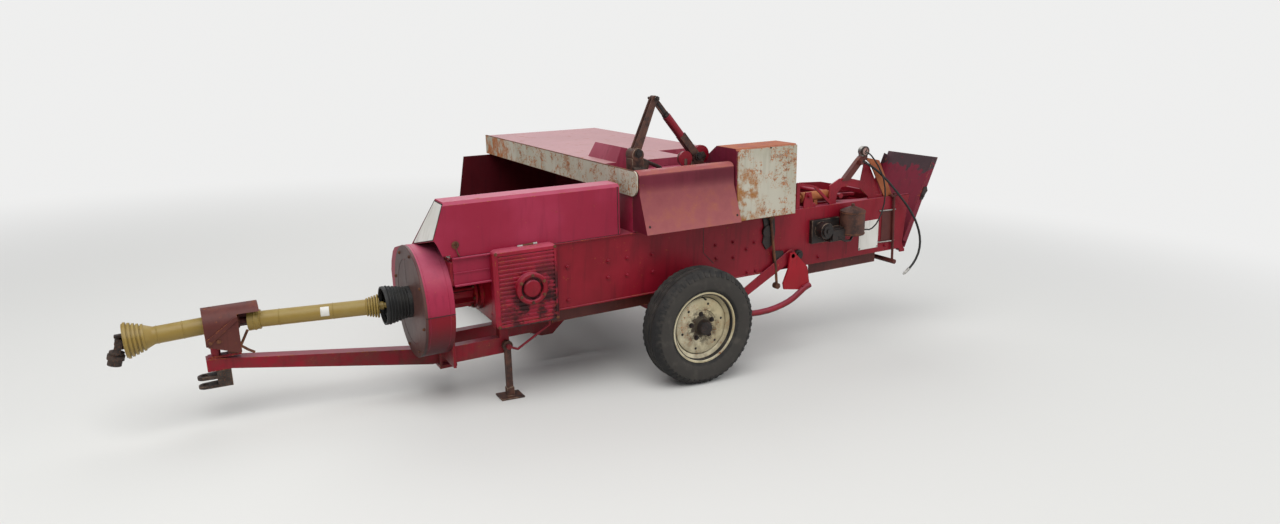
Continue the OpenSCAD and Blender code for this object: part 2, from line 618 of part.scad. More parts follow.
// Rear of the chamber: top rails, tension frame, pump, gauge and their hoses
module tension_rails() stance() color(deep_red) {
  inset = bale_w / 2 - 50;
  for (s = [-1, 1]) let (y = s * (inset - 32))
    side_plate([[roof_end + 30, roof_z - floor_t + 4], [1760, roof_z - floor_t - 26], [1760,
      roof_z - floor_t - 6],
      [roof_end + 30, roof_z + 18]], y - 20, y + 20);
  block(roof_end + 30, roof_end + 70, -half_w + 12, half_w - 12, roof_z, roof_z + 24);
  block(roof_end + 30, roof_end + 70, -inset + 12, inset - 12, roof_z - floor_t + 5, roof_z);
}
module tension_frame() color(deep_red) {
  out = (hose_route[1] - hose_route[0]) / norm(hose_route[1] - hose_route[0]);
  rod(hose_route[0] - 44 * out, hose_route[0] - fit * out, hose_d + 6);
  stance() tension_bars();
}
module tension_bars() {
  block(1440, 1466, -half_w - 12, -half_w + 34, 836, 868);
  for (s = [-1, 1]) let (y = s * (half_w - 30)) {
    side_plate([[1250, roof_z], [1745, roof_z], [1745, roof_z + 26], [1640, roof_z + 92], [1380,
      roof_z + 118],
      [1250, roof_z + 112]], y - 5, y + 5);
    rod([1290, y, roof_z + 100], [1500, y, 872], 34);
    rod([1500, y, 872], [1595, y, 852], 30);
    side_plate([[1575, 865], [1620, 865], [1776, roof_z], [1730, roof_z]], y - 5 + s * 10, y + 5 + s * 10);
  }
  for (p = [[1310, roof_z + 80], [1500, 872]]) bar_y(-half_w + 30, half_w - 30, p[0], p[1], 36);
  block(1620, 1660, -half_w + 35, half_w - 35, roof_z + 30, roof_z + 60);
  rod([1790, -half_w - 14, 96], [1772, -half_w - 14, 612], 18);
  block(1745, 1795, -half_w - 23, -half_w + 15, roof_z, roof_z + 10);
  bar_y(-half_w - 40, half_w + 40, 1788, 108, 34);
}
pump_y = -half_w - 63;
module tension_pump() stance() color(dark) {
  block(1010, 1250, -half_w - 30, -half_w, 340, 500);
  bar_y(-half_w - 92, -half_w - 30, 1090, 430, 110);
  block(1120, 1250, -half_w - 90, -half_w - 30, 350, 440);
  translate([1318, pump_y - 20, 386]) cylinder(h = 150, d = 164);
  translate([1318, pump_y - 20, 536]) cylinder(h = 12, d = 160);
  translate([1318, pump_y - 20, 548]) cylinder(h = 26, r1 = 70, r2 = 10);
  block(1250, 1318, -half_w - 62, -half_w, 390, 430);
  bar_x(1390, 1420, pump_y - 20, 400, 20);
}
gauge_at = [1496, -half_w + 30, 905];
module tension_gauge() stance() color("silver") {
  bar_y(gauge_at[1] - 22, gauge_at[1] + 16, gauge_at[0], gauge_at[2] + 19, 66);
  bar_y(gauge_at[1] - 40, gauge_at[1] - 20, gauge_at[0], gauge_at[2] + 10, 16);
  block(gauge_at[0] - 24, gauge_at[0] + 24, gauge_at[1] - 20, gauge_at[1] + 18, 890, 906);
}
gauge_route = [[1496, -251.3, 915], [1498, -266, 912], [1512, -276, 896], [1540, -282, 862], [1574, -284,
  820],
  [1606, -284, 772], [1632, -284, 720], [1648, -284, 664], [1654, -284, 606], [1648, -284, 548], [1632,
  -284, 494],
  [1606, -286, 446], [1570, -292, 412], [1526, -304, 394], [1484, -316, 390], [1448, -323, 397], [1420.8,
  -323, 400]];
module gauge_hose() stance() color(dark) tube(gauge_route, 10);
plate_at = [1466, 228];
module blank_plate() stance() color("white")
  block(plate_at[0], plate_at[0] + 182, -half_w - 3, -half_w, plate_at[1], plate_at[1] + 205);

// Bale chute, folded up behind the chamber
chute_px = chamber_rear + chute_hinge_gap;
module chute() stance() color(sheet_red) translate([chute_px, 0, chute_hinge_z]) rotate([0, chute_lean,
  0]) {
  w = half_w;
  block(-3, 3, -w, w, 20, chute_l);
  for (s = [-1, 1]) block(-40, -3, s > 0 ? w - 4 : -w, s > 0 ? w : -w + 4, 60, chute_l - 30);
  block(3, chute_lip, -w + 20, w - 20, chute_l - lip_drop - 4, chute_l - lip_drop);
  for (y = [-150, 0, 150]) block(3, 12, y - 3, y + 3, 40, chute_l - 40);
  for (y = [-200, 0, 200]) difference() {
    hull() {
      bar_y(y - 25, y + 25, 0, 0, 28, $fn = 32);
      block(-3, 3, y - 25, y + 25, 20, 30);
    }
    bar_y(y - 26, y + 26, 0, 0, 14 + 2 * fit);
  }
}
module chute_hinge() {
  bar_y(-half_w, half_w, chute_px, chute_hinge_z, 14);
  for (y = [-half_w, -120, 80, half_w - 12]) side_plate([[chamber_rear - 44, chamber_z + 5],
    [chamber_rear - 4, chamber_z + 5],
    [chute_px + 9, chute_hinge_z + 9], [chute_px + 9, chute_hinge_z - 12], [chamber_rear - 30,
    chute_hinge_z - 12]], y, y + 12);
}

// Drawbar on its upright pin, with the drive shaft's shield and the hitch on it
swing_pin_d = 34;
bar_front = -2650;
clevis_top = 60;
bar_line = [[pivot_x + 40, -50], [pivot_x - 70, -44], [-2600, 127], [bar_front, 127], [bar_front,
  clevis_top],
  [-2535, clevis_top], [pivot_x - 90, -140], [pivot_x + 40, -138]];
module drawbar() stance() color(deep_red) {
  difference() {
    side_plate(bar_line, bar_y0 - bar_w / 2, bar_y0 + bar_w / 2);
    translate([pivot_x, bar_y0, -160]) cylinder(h = 130, d = swing_pin_d + 2 * fit);
  }
  translate([-2600, bar_y0, 100]) cylinder(h = 106, d = 46);
  block(-2640, -2480, bar_y0 - 28, bar_y0 + 28, 124, bar_pad_z);
}
bar_pad_z = 136;
clevis_x = bar_front - 18;
module hitch_clevis() stance() color(dark) difference() {
  union() {
    hull() {
      block(-2560, -2540, bar_y0 - 40, bar_y0 + 40, 16, 34);
      translate([clevis_x, bar_y0, 16]) cylinder(h = 18, r = 34, $fn = 32);
    }
    block(-2610, -2540, bar_y0 - 40, bar_y0 + 40, 34, clevis_top);
    hull() {
      block(-2560, -2540, bar_y0 - 40, bar_y0 + 40, -32, -16);
      translate([clevis_x, bar_y0, -32]) cylinder(h = 16, r = 34, $fn = 32);
    }
    block(-2610, -2540, bar_y0 - 40, bar_y0 + 40, -16, 16);
  }
  translate([clevis_x, bar_y0, -40]) cylinder(h = 90, d = hitch_d);
}

// Parking stand under the left low tube
stand_px = -1140;
stand_pz = 12;
stand_y = -165;
stand_pin_d = 24;
module stand() stance() color(dark) {
  foot_z = floor_z(stand_px);
  difference() {
    union() {
      bar_y(stand_y - 12, stand_y + 12, stand_px, stand_pz, 60);
      block(stand_px - 18, stand_px + 18, stand_y - 12, stand_y + 12, foot_z + 14, stand_pz);
    }
    bar_y(stand_y - 13, stand_y + 13, stand_px, stand_pz, stand_pin_d + 2 * fit);
  }
  translate([stand_px, stand_y, foot_z]) rotate([0, nose_down, 0]) block(-70, 70, -55, 55, 0, 10);
  block(stand_px - 22, stand_px + 22, stand_y - 20, stand_y + 20, foot_z + 8, foot_z + 60);
}

// Drive shaft: arched shield and hanger bearing on the drawbar, guards, bell and yokes
arch_r = 100;
arch_z = 295;
arch_x = [-2640, -2374];
near_end = -2480;
ball_r = 26;
shaft_r = 20;
stub_r = 15;
module pto_shield() stance() color(sheet_red) {
  near = bar_y0 - arch_r;
  far = bar_y0 + arch_r;
  low = 150;
  difference() {
    union() {
      bar_x(arch_x[0], arch_x[1], bar_y0, arch_z, 2 * arch_r, $fn = 64);
      block(arch_x[0], arch_x[1], near, far, low, arch_z);
    }
    bar_x(arch_x[0] - 1, arch_x[1] + 1, bar_y0, arch_z, 2 * (arch_r - sheet_t), $fn = 64);
    block(arch_x[0] - 1, arch_x[1] + 1, near + sheet_t, far - sheet_t, low - 1, arch_z);
    block(near_end, arch_x[1] + 1, near - 1, bar_y0 - 30, low - 1, arch_z + 62);
    side_plate([[arch_x[0] - 1, low - 1], [arch_x[1] + 1, low - 1], [arch_x[1] + 1, 240], [near_end + 10,
      240],
      [near_end, 160], [near_end - 20, 160], [arch_x[0] - 1, 216]], near - 1, far + 1);
  }
  side_plate([[arch_x[0], 228], [arch_x[0] + 18, 226], [near_end, 334], [near_end, 352], [near_end - 14,
    350],
    [arch_x[0], 246]], near - 6, near);
  block(-2630, -2590, near + 3, far - 3, 206, 216);
  difference() {
    union() {
      bar_x(pto_c[0] + 4, -2470, bar_y0, pto_c[2], 84);
      bar_x(-2471, -2405, bar_y0, 297, 2 * shaft_r);
      block(-2545, -2485, bar_y0 - 26, bar_y0 + 26, bar_pad_z, pto_c[2]);
    }
    translate(pto_c) sphere(r = ball_r + fit, $fn = 48);
  }
}
module front_line() translate(pto_c) rotate([0, front_pitch, 0]) rotate([0, -90, 0]) children();
mouth_x = 340;
ring_pitch = 18;
module pto_front_guard() stance() color("#c29a4c") front_line() {
  difference() {
    union() {
      translate([0, 0, 40]) cylinder(h = 260, d = guard_d);
      translate([0, 0, 300]) cylinder(h = mouth_x - 300, r1 = guard_d / 2, r2 = 62);
      for (i = [0 : 4]) translate([0, 0, mouth_x + i * ring_pitch]) {
        cylinder(h = ring_pitch - 7, r = 68 + i * 6);
        translate([0, 0, ring_pitch - 7]) cylinder(h = 7, r = 62 + i * 6);
      }
    }
    translate([0, 0, 39]) cylinder(h = 400, r = guard_d / 2 - 5);
    translate([0, 0, mouth_x + 5]) cylinder(h = 95, r = 56);
  }
  for (z = [60, 280]) translate([0, 0, z]) difference() {
    cylinder(h = 10, r = guard_d / 2 - 4);
    translate([0, 0, -1]) cylinder(h = 12, r = shaft_r + fit);
  }
  difference() {
    union() {
      sphere(r = ball_r, $fn = 48);
      translate([0, 0, 12]) cylinder(h = 50, r = shaft_r + 4);
    }
    translate([0, 0, 8]) cylinder(h = 60, r = stub_r + fit);
    translate([0, 0, 37]) cylinder(h = 30, r = shaft_r + fit);
  }
}
// Inner shaft with its yoke and cross; the end yoke hangs from the cross
pin_r = 12;
module pto_yoke() stance() color(dark) front_line() {
  translate([0, 0, 10]) cylinder(h = 30, r = stub_r);
  translate([0, 0, 38]) cylinder(h = cross_at - 30 - 38, r = shaft_r);
  translate([0, 0, cross_at - 40]) cylinder(h = 14, r = 40);
  translate([0, 0, cross_at]) {
    for (s = [-1, 1]) translate([s * 31 - 6, -16, -30]) cube([12, 32, 46]);
    rotate([0, 90, 0]) cylinder(h = 74, r = pin_r, center = true);
    rotate([90, 0, 0]) cylinder(h = 68, r = pin_r, center = true);
  }
}
module pto_end_yoke() stance() color(dark) front_line() translate([0, 0, cross_at]) rotate([0,
  -yoke_droop, 0])
  difference() {
    union() {
      for (s = [-1, 1]) {
        translate([0, s * 27, 0]) rotate([90, 0, 0]) cylinder(h = 12, r = 20, center = true);
        translate([-16, s * 27 - 6, 0]) cube([32, 12, 54]);
      }
      translate([0, 0, 50]) cylinder(h = 10, r = 34);
      translate([0, 0, 50]) cylinder(h = end_l - 50, r = end_r);
      translate([0, 0, 66]) cylinder(h = 24, r = end_r + 7);
    }
    translate([0, 0, 49]) cylinder(h = end_l, d = spline_d);
    rotate([90, 0, 0]) cylinder(h = 100, r = pin_r + fit, center = true);
  }
rear_c = [-1722, drive_y, drive_z];
rear_end = [-2425, bar_y0, 294];
rear_yaw = atan((rear_end[1] - rear_c[1]) / (rear_c[0] - rear_end[0]));
rear_l = norm(rear_end - rear_c);
module rear_line_frame() translate(rear_c) rotate([0, 0, -rear_yaw]) rotate([0,
  -90 - asin((rear_end[2] - rear_c[2]) / -rear_l), 0]) children();
module pto_rear_guard() stance() color("#c29a4c") rear_line_frame() {
  difference() {
    union() {
      translate([0, 0, 60]) cylinder(h = rear_l - 100, d = guard_d - 4);
      translate([0, 0, rear_l - 60]) cylinder(h = 60, d1 = guard_d + 12, d2 = guard_d + 22);
    }
    translate([0, 0, 59]) cylinder(h = rear_l, d = guard_d - 14);
  }
  sphere(r = ball_r, $fn = 48);
  cylinder(h = 40, r = stub_r);
  translate([0, 0, 38]) cylinder(h = rear_l - 108, r = 22);
  translate([0, 0, rear_l - 80]) cylinder(h = 8, d = guard_d - 14);
}
module pto_bell() stance() color(dark) {
  difference() {
    union() {
      bar_x(cover_front - 22, cover_front, drive_y, drive_z, 176);
      translate([cover_front - 22, drive_y, drive_z]) rotate([0, -90, 0]) cylinder(h = 110, r1 = 82,
        r2 = 104);
      bar_x(cover_front - 150, cover_front - 132, drive_y, drive_z, 214);
    }
    translate([cover_front + 1, drive_y, drive_z]) rotate([0, -90, 0]) cylinder(h = 160, r1 = 66, r2 = 99);
  }
}

// Pickup on the right: frame with its arms, stripper bands, tined reel, windguard, wheel
lift_x = -446;
lift_z = 92;
lift_pin_d = 30;
reel_x = -700;
reel_z = 20;
pick_y = [300, feeder_right - 100];
tube_at = [-458, 12];
module pickup_frame() stance() color(deep_red) {
  for (y = [pick_y[0], pick_y[1] - 8]) difference() {
    side_plate([[lift_x + 26, lift_z - 14], [lift_x + 26, lift_z + 14], [-470, lift_z + 68], [-524, 236],
      [guard_x + 22, guard_z + 22], [guard_x - 22, guard_z + 22], [guard_x - 44, 234], [-700, 232],
      [-860, 150],
      [-915, 20], [-870, -90], [-740, -148], [-660, -148], [-560, -60]], y, y + 8);
    bar_y(y - 1, y + 9, lift_x, lift_z, lift_pin_d + 2 * fit);
    bar_y(y - 1, y + 9, reel_x, reel_z, 40 + 2 * fit);
    bar_y(y - 1, y + 9, guard_x, guard_z, guard_shaft_d + 2 * fit);
  }
  bar_y(pick_y[0] + 8, pick_y[1] - 8, tube_at[0], tube_at[1], 60);
  block(-540, -510, pick_y[0] + 8, pick_y[1] - 8, reel_z + band_r, reel_z + band_r + 30);
  bar_y(pick_y[1] - 1, pick_y[1] + 95, gauge_x, gauge_z, gauge_pin_d);
}
module pickup_strippers() stance() color(deep_red) {
  pitch = (pick_y[1] - pick_y[0] - 60) / bands;
  for (i = [0 : bands]) translate([0, pick_y[0] + 30 + i * pitch, 0]) difference() {
    union() {
      bar_y(-9, 9, reel_x, reel_z, 2 * band_r, $fn = 40);
      block(reel_x, tube_at[0], -9, 9, reel_z - 40, reel_z + band_r);
    }
    bar_y(-10, 10, reel_x, reel_z, 2 * band_r - 10, $fn = 40);
    block(reel_x, tube_at[0] + 1, -10, 10, reel_z - 35, reel_z + band_r - 5);
    bar_y(-10, 10, tube_at[0], tube_at[1], 60 + 2 * fit);
  }
}
module pickup_reel() stance() color(dark) {
  bar_y(pick_y[0] - 10, pick_y[1] + 10, reel_x, reel_z, 40);
  for (a = [0 : 90 : 270]) translate([reel_x, 0, reel_z]) rotate([0, a + 20, 0]) {
    bar_y(pick_y[0] + 14, pick_y[1] - 14, 0, 105, 30, $fn = 24);
    pitch = (pick_y[1] - pick_y[0] - 60) / bands;
    for (i = [0 : bands - 1]) translate([0, pick_y[0] + 30 + (i + 0.5) * pitch, 0])
      for (s = [-1, 1]) rod([0, s * 12, 105], [-10, s * 12, reel_r - 3], 6);
    for (y = [pick_y[0] + 40, pick_y[1] - 40]) block(-11, 11, y - 3, y + 3, 14, 104);
  }
}
guard_x = -560;
guard_z = 250;
guard_shaft_d = 26;
fingers = 14;
module windguard() stance() color(deep_red) {
  bar_y(pick_y[0] - 10, pick_y[1] + 10, guard_x, guard_z, guard_shaft_d);
  for (i = [0 : fingers - 1]) let (y = pick_y[0] + 60 + i * (pick_y[1] - pick_y[0] - 120) / (fingers - 1))
    side_plate([[guard_x, guard_z + 6], [-760, 306], [-902, 268], [-972, 192], [-962, 186], [-895, 258],
      [-760, 294],
      [guard_x, guard_z - 6]], y - 5, y + 5);
}
gauge_x = -700;
gauge_z = floor_z(gauge_x) + gauge_d / 2 + 60;
gauge_pin_d = 24;
module gauge_wheel() stance() color(dark) {
  r = gauge_d / 2;
  translate([gauge_x, pick_y[1] + 60, gauge_z]) rotate([90, 0, 0]) difference() {
    rotate_extrude() polygon([[8, -32], [r - 34, -32], [r - 14, -30], [r, -12], [r, 12], [r - 14, 30],
      [r - 34, 32], [8, 32]]);
    cylinder(h = 80, d = gauge_pin_d + 2 * fit, center = true);
  }
}

// Loose hydraulic hose hanging from the gauge block to its free end, in the row frame
hose_d = 16;
hose_sides = 10;
hose_from = in_row([1496.8, -half_w - 6, 842.8]);
hose_fall = [
  [0, 0, 0], [40, -1, -18], [76, -2, -38], [114, -4, -60], [148, -6, -84], [182, -8, -110],
  [216, -12, -136], [246, -16, -164], [278, -20, -192], [308, -25, -222], [338, -30, -252],
  [366, -36, -282], [396, -42, -314], [422, -48, -346], [446, -54, -380], [468, -62, -416],
  [486, -68, -454], [504, -72, -494], [516, -76, -536], [522, -79, -578], [520, -82, -620],
  [510, -84, -660], [492, -84, -700], [466, -84, -736], [434, -84, -766], [400, -84, -790]];
hose_route = [for (p = hose_fall) hose_from + p];
function tangent(path, i) = let (v = path[min(i + 1, len(path) - 1)] - path[max(i - 1, 0)]) v / norm(v);
function ring(path, i, r) = let (t = tangent(path, i), side = cross(t, [0, 1, 0]) / norm(cross(t, [0, 1,
  0])),
  up = cross(side, t)) [for (k = [0 : hose_sides - 1]) let (a = 360 * k / hose_sides) path[i] + r *
    (cos(a) * side + sin(a) * up)];
module tube(route, d) {
  n = len(route);
  points = [for (i = [0 : n - 1]) each ring(route, i, d / 2)];
  sides = [for (i = [0 : n - 2], k = [0 : hose_sides - 1]) let (m = (k + 1) % hose_sides,
    a = i * hose_sides)
    [a + k, a + m, a + hose_sides + m, a + hose_sides + k]];
  ends = [[for (k = [hose_sides - 1 : -1 : 0]) k], [for (k = [0 : hose_sides - 1]) (n - 1) * hose_sides +
    k]];
  polyhedron(points, concat(sides, ends));
}
module tension_hose() color(dark) tube(hose_route, hose_d);

chamber();
chassis_rails();
front_frame();
axle();
tyre_left();
rim_left();
tyre_right();
rim_right();
gearbox();
gearbox_cover();
flywheel();
flywheel_cover();
plunger_hood();
plunger();
side_shield();
feeder_deck();
feeder_housing();
feeder_hood();
feeder_beam();
feeder_arms();
knotters();
knotter_shield();
needle_yoke();
needle_bracket();
tension_rails();
tension_frame();
tension_pump();
tension_gauge();
gauge_hose();
tension_hose();
blank_plate();
chute();
drawbar();
hitch_clevis();
stand();
pto_shield();
pto_front_guard();
pto_yoke();
pto_end_yoke();
pto_rear_guard();
pto_bell();
pickup_frame();
pickup_strippers();
pickup_reel();
windguard();
gauge_wheel();
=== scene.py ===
"""Looks of a towed square baler: worn paint, tyres, guards, hose and the studio round it."""
import functools
import json
import math

import bmesh
import bpy
from mathutils import Matrix, Vector


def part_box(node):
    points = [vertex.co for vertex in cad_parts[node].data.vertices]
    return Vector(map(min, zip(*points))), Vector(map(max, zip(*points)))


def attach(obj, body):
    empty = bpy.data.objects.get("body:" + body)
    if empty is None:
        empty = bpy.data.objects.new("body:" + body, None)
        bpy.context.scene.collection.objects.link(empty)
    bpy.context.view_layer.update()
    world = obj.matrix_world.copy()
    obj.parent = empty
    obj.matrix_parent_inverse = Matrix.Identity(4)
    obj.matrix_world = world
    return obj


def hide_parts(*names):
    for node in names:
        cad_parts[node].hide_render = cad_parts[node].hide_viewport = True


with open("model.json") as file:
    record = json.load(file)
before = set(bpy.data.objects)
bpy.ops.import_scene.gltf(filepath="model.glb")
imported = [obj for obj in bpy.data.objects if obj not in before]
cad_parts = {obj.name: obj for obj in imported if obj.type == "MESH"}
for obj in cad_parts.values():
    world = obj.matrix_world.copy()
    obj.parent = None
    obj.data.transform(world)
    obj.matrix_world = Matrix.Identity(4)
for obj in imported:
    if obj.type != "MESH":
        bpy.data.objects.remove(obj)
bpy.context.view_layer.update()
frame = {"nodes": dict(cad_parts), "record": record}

bl_info = {
    "name": "Square baler",
    "version": (1, 0, 0),
    "blender": (4, 5, 0),
    "location": "3D View > Sidebar > Baler",
    "description": "Finishes and small parts of a towed square baler",
    "category": "Object",
}

MM = 0.001
NOSE_DOWN = 3.0
# The baler stands nose down. Small parts are drawn square to its chamber, in millimetres
# from the axle line below the chamber's middle, and STANCE puts them on the floor.
wheel_lo, wheel_hi = (Vector(corner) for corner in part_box("tyre_left"))
AXLE = (wheel_lo + wheel_hi) / 2 + Vector((0, 0.42, 0))
STANCE = Matrix.Translation(AXLE) @ Matrix.Rotation(math.radians(-NOSE_DOWN), 4, "Y") @ Matrix.Scale(MM, 4)
# The middle of the flywheel and drive shaft: y and z
SHAFT = (30, 305)


def linear(colour):
    """An sRGB hex colour as the linear numbers that Blender works in."""
    parts = [int(colour[i:i + 2], 16) / 255 for i in (1, 3, 5)]
    return tuple(p / 12.92 if p <= 0.04045 else ((p + 0.055) / 1.055) ** 2.4 for p in parts)


def paint_colour(name, description, colour):
    return bpy.props.FloatVectorProperty(
        name=name, description=description, subtype="COLOR", size=3, min=0, max=1, default=linear(colour))


class BalerFinish(bpy.types.PropertyGroup):
    """The colours that someone would change first."""

    crimson: paint_colour("Crimson", "Faded enamel of the hood and covers", "#921E38")
    deep_red: paint_colour("Deep red", "Enamel of the chamber and frame", "#7A0E1E")
    cream: paint_colour("Cream", "Enamel of the knotter shield and beam", "#ABA694")
    ochre: paint_colour("Ochre", "Plastic of the drive shaft guards", "#8E7430")
    floor: paint_colour("Floor", "Studio floor", "#D9D8D4")


class BalerSizes(bpy.types.PropertyGroup):
    """The sizes of the parts that this file adds."""

    bolt: bpy.props.FloatProperty(
        name="Bolt", description="Bolt head across its flats", default=19 * MM, unit="LENGTH")
    hose: bpy.props.FloatProperty(
        name="Hose", description="Outside diameter of the loose hose", default=16 * MM, unit="LENGTH")


def finish_settings():
    return bpy.context.scene.baler_finish


def size_settings():
    return bpy.context.scene.baler_sizes


# ---- Materials

# Nodes that recur: type, settings, the inputs that their values go to, and output
TIMES = "ShaderNodeMath", {"operation": "MULTIPLY"}, (0, 1), 0
PLUS = "ShaderNodeMath", {"operation": "ADD", "use_clamp": True}, (0, 1), 0
# 0 below the second value and 1 above the third, smoothly
RAMP = "ShaderNodeMapRange", {"interpolation_type": "SMOOTHSTEP"}, (0, 1, 2), 0
# From the second value, a colour, to the third
MIX = "ShaderNodeMix", {"data_type": "RGBA"}, (0, 6, 7), 2
NOISE = "ShaderNodeTexNoise", {}, ("Vector", "Scale", "Detail", "Roughness"), 0
BUMP = "ShaderNodeBump", {}, ("Strength", "Distance", "Height", "Normal"), 0
PLACE = "ShaderNodeTexCoord", {}, (), "Object"
FACING = "ShaderNodeTexCoord", {}, (), "Normal"
UPWARD = "ShaderNodeSeparateXYZ", {}, (0,), 2
DISTANCE = "ShaderNodeVectorMath", {"operation": "DISTANCE"}, (0, 1), 1
WORN = "ShaderNodeAttribute", {"attribute_name": "worn"}, (), 2


def add_node(tree, kind, *values, inputs=None, out=0, **settings):
    """Adds one node with its settings and its inputs' values, colours or links, and returns an output."""
    inputs = inputs or {}
    if isinstance(kind, tuple):
        kind, settings, names, out = kind
        inputs = dict(zip(names, values))
    node = tree.nodes.new(kind)
    for name, value in settings.items():
        setattr(node, name, value)
    for name, value in inputs.items():
        socket = node.inputs[name]
        if isinstance(value, bpy.types.NodeSocket):
            tree.links.new(value, socket)
        elif socket.type == "RGBA":
            socket.default_value = (*(linear(value) if isinstance(value, str) else value), 1)
        else:
            socket.default_value = value
    return node.outputs[out] if node.outputs else None


def blank_material(name):
    """A new node material with its surface shader still to come, and what adds nodes to it."""
    material = bpy.data.materials.new(name)
    material.use_nodes = True
    material.node_tree.nodes.clear()
    return material, functools.partial(add_node, material.node_tree)


def close_material(add, **inputs):
    """Joins a Principled shader to the output."""
    shader = add("ShaderNodeBsdfPrincipled", inputs={k.replace("_", " "): v for k, v in inputs.items()})
    add("ShaderNodeOutputMaterial", inputs={"Surface": shader})


def cells(size):
    """Noise scale for a pattern of that size in millimetres."""
    return 1 / (size * MM)


def enamel(name, base, faded, deep, rust_share=0.5, speck=0.62, gloss=0.42, fade_and_sheen=0.75, top_rust=0.0,
           slope=(0.2, 0.95), pale=None, lower=None, hub=False, stain=None, inside=0.0):
    """Alkyd enamel sprayed on sheet steel, years in the sun: the eye gets a satin colour that pales on top,
    partly sun fading and partly a painted sheen of light, darkens in streaks, and breaks to orange rust at
    edges and in specks. Painted shade darkens the faces that look down and, where asked, the feeder's inner
    walls."""
    material, add = blank_material(name)
    here, facing = add(PLACE), add(FACING)
    up, height = add(UPWARD, facing), add(UPWARD, here)
    clouds = add(NOISE, here, cells(450), 3, 0.6)
    patches = add(NOISE, here, cells(90), 6, 0.65)
    grain = add(NOISE, here, cells(9), 5, 0.6)
    chips = add(NOISE, here, cells(28), 5, 0.6)
    # Rain streaks, 30 mm wide and ten times as long
    run = add("ShaderNodeMapping", inputs={"Vector": here, "Scale": (1, 1, 0.1)})
    streaks = add(NOISE, run, cells(30), 4, 0.6)
    colour = add(MIX, add(RAMP, clouds, 0.35, 0.65), base, faded)
    if lower:
        # Below this height the colour turns to a second red: on the chute, paint that the bales have not
        # scraped; on the flywheel cover's lower half, painted shade
        level, red_below, ragged = lower
        line = add("ShaderNodeMath", inputs={0: height, 1: add(TIMES, patches, ragged)})
        level += ragged / 2
        colour = add(MIX, add(RAMP, line, level + 8 * MM, level - 8 * MM), colour, red_below)
    colour = add(MIX, add(TIMES, add(RAMP, streaks, 0.48, 0.75), 0.35), colour, deep)
    # Faces that look up turn pale: partly sun fading, partly painted light, a sheen of the sky painted on
    # tops and slopes
    top = add(RAMP, up, *slope)
    faded_and_lit_top = add(TIMES, top, add(PLUS, add(TIMES, patches, 0.8), fade_and_sheen - 0.4))
    pale = pale or tuple(c * 0.6 + more for c, more in zip(linear(faded), (0.3, 0.11, 0.16)))
    colour = add(MIX, add(TIMES, faded_and_lit_top, fade_and_sheen), colour, pale)
    # Dust and mud thrown up to about 600 mm, and painted shade under the sheets, where faces that look down
    # turn near black
    dirt = add(TIMES, add(RAMP, height, 0.62, 0.05), add(RAMP, patches, 0.38, 0.66))
    colour = add(MIX, add(TIMES, dirt, 0.6), colour, "#4A3A2E")
    # Painted shade: faces that look down are darkened
    colour = add(MIX, add(TIMES, add(RAMP, up, -0.1, -0.8), 0.75), colour, "#1E1113")
    # Rust: chips and specks on the sheet, more where it lies flat, and a line along worn edges
    speckle = add(PLUS, add(RAMP, grain, speck, speck + 0.05), add(RAMP, chips, speck + 0.02, speck + 0.06))
    spread = add(TIMES, speckle, add(RAMP, patches, 0.66 - rust_share * 0.24, 0.76 - rust_share * 0.22))
    blotches = add(TIMES, add(RAMP, patches, 0.6, 0.63), max(0, rust_share - 0.6) * 2.2)
    rim = add(TIMES, add(WORN), add(RAMP, chips, 0.62 - rust_share * 0.3, 0.7 - rust_share * 0.25))
    flat = add(TIMES, add(TIMES, top, rust_share * 0.8 + top_rust),
               add(RAMP, patches, 0.55 - top_rust * 0.4, 0.75 - top_rust * 0.3))
    rust = add(PLUS, add(PLUS, add(PLUS, spread, blotches), rim), flat)
    rusty = add(MIX, add(RAMP, grain, 0.35, 0.65), "#6B3519", "#B06B38")
    if top_rust:
        rusty = add(MIX, top, rusty, "#AC6C50")
    colour = add(MIX, add(TIMES, rust, 0.85), colour, rusty)
    if hub:
        # Grease and rust run out from the hub over 110 mm, the same on either side of the wheel
        beside = add("ShaderNodeVectorMath", inputs={0: here, 1: (1, 0, 1)}, operation="MULTIPLY")
        away = add(DISTANCE, beside, (AXLE.x, 0, AXLE.z))
        thin = add(TIMES, add(RAMP, away, 0.15, 0.06), add(RAMP, chips, 0.42, 0.56))
        grease = add(PLUS, add(RAMP, away, 0.085, 0.05), thin)
        colour = add(MIX, add(TIMES, grease, 0.9), colour, "#2E211A")
    if stain:
        spot, reach, tint = stain
        away = add(DISTANCE, here, tuple(STANCE @ Vector(spot)))
        uneven = add(RAMP, add(PLUS, patches, add(TIMES, streaks, 0.2)), 0.5, 0.66)
        spill = add(TIMES, add(RAMP, away, reach, reach * 0.45), uneven)
        colour = add(MIX, add(TIMES, spill, 0.9), colour, tint)
    if inside:
        # Walls that look to the front and to the left, the feeder's inner walls, are darkened: painted shade
        looks = add("ShaderNodeVectorMath", inputs={0: facing, 1: (-1, -1, 0)}, out=1,
                    operation="DOT_PRODUCT")
        colour = add(MIX, add(TIMES, add(RAMP, looks, 0.4, 0.8), inside), colour, "#1C0B0E")
    wear = add(PLUS, rust, add(TIMES, patches, 0.35))
    rough = add("ShaderNodeMapRange", inputs={"Value": wear, "From Min": 0.1, "From Max": 0.9,
                                              "To Min": gloss, "To Max": 0.9})
    # Dents 200 mm across and under 1 mm deep, then the paint's own orange peel and rust scale
    dents = add(NOISE, here, cells(200), 1)
    peel = add(BUMP, 0.35, 0.4 * MM, grain, add(BUMP, 0.6, 4 * MM, dents))
    close_material(add, Base_Color=colour, Roughness=rough, Specular_IOR_Level=0.25, Normal=peel)
    return material


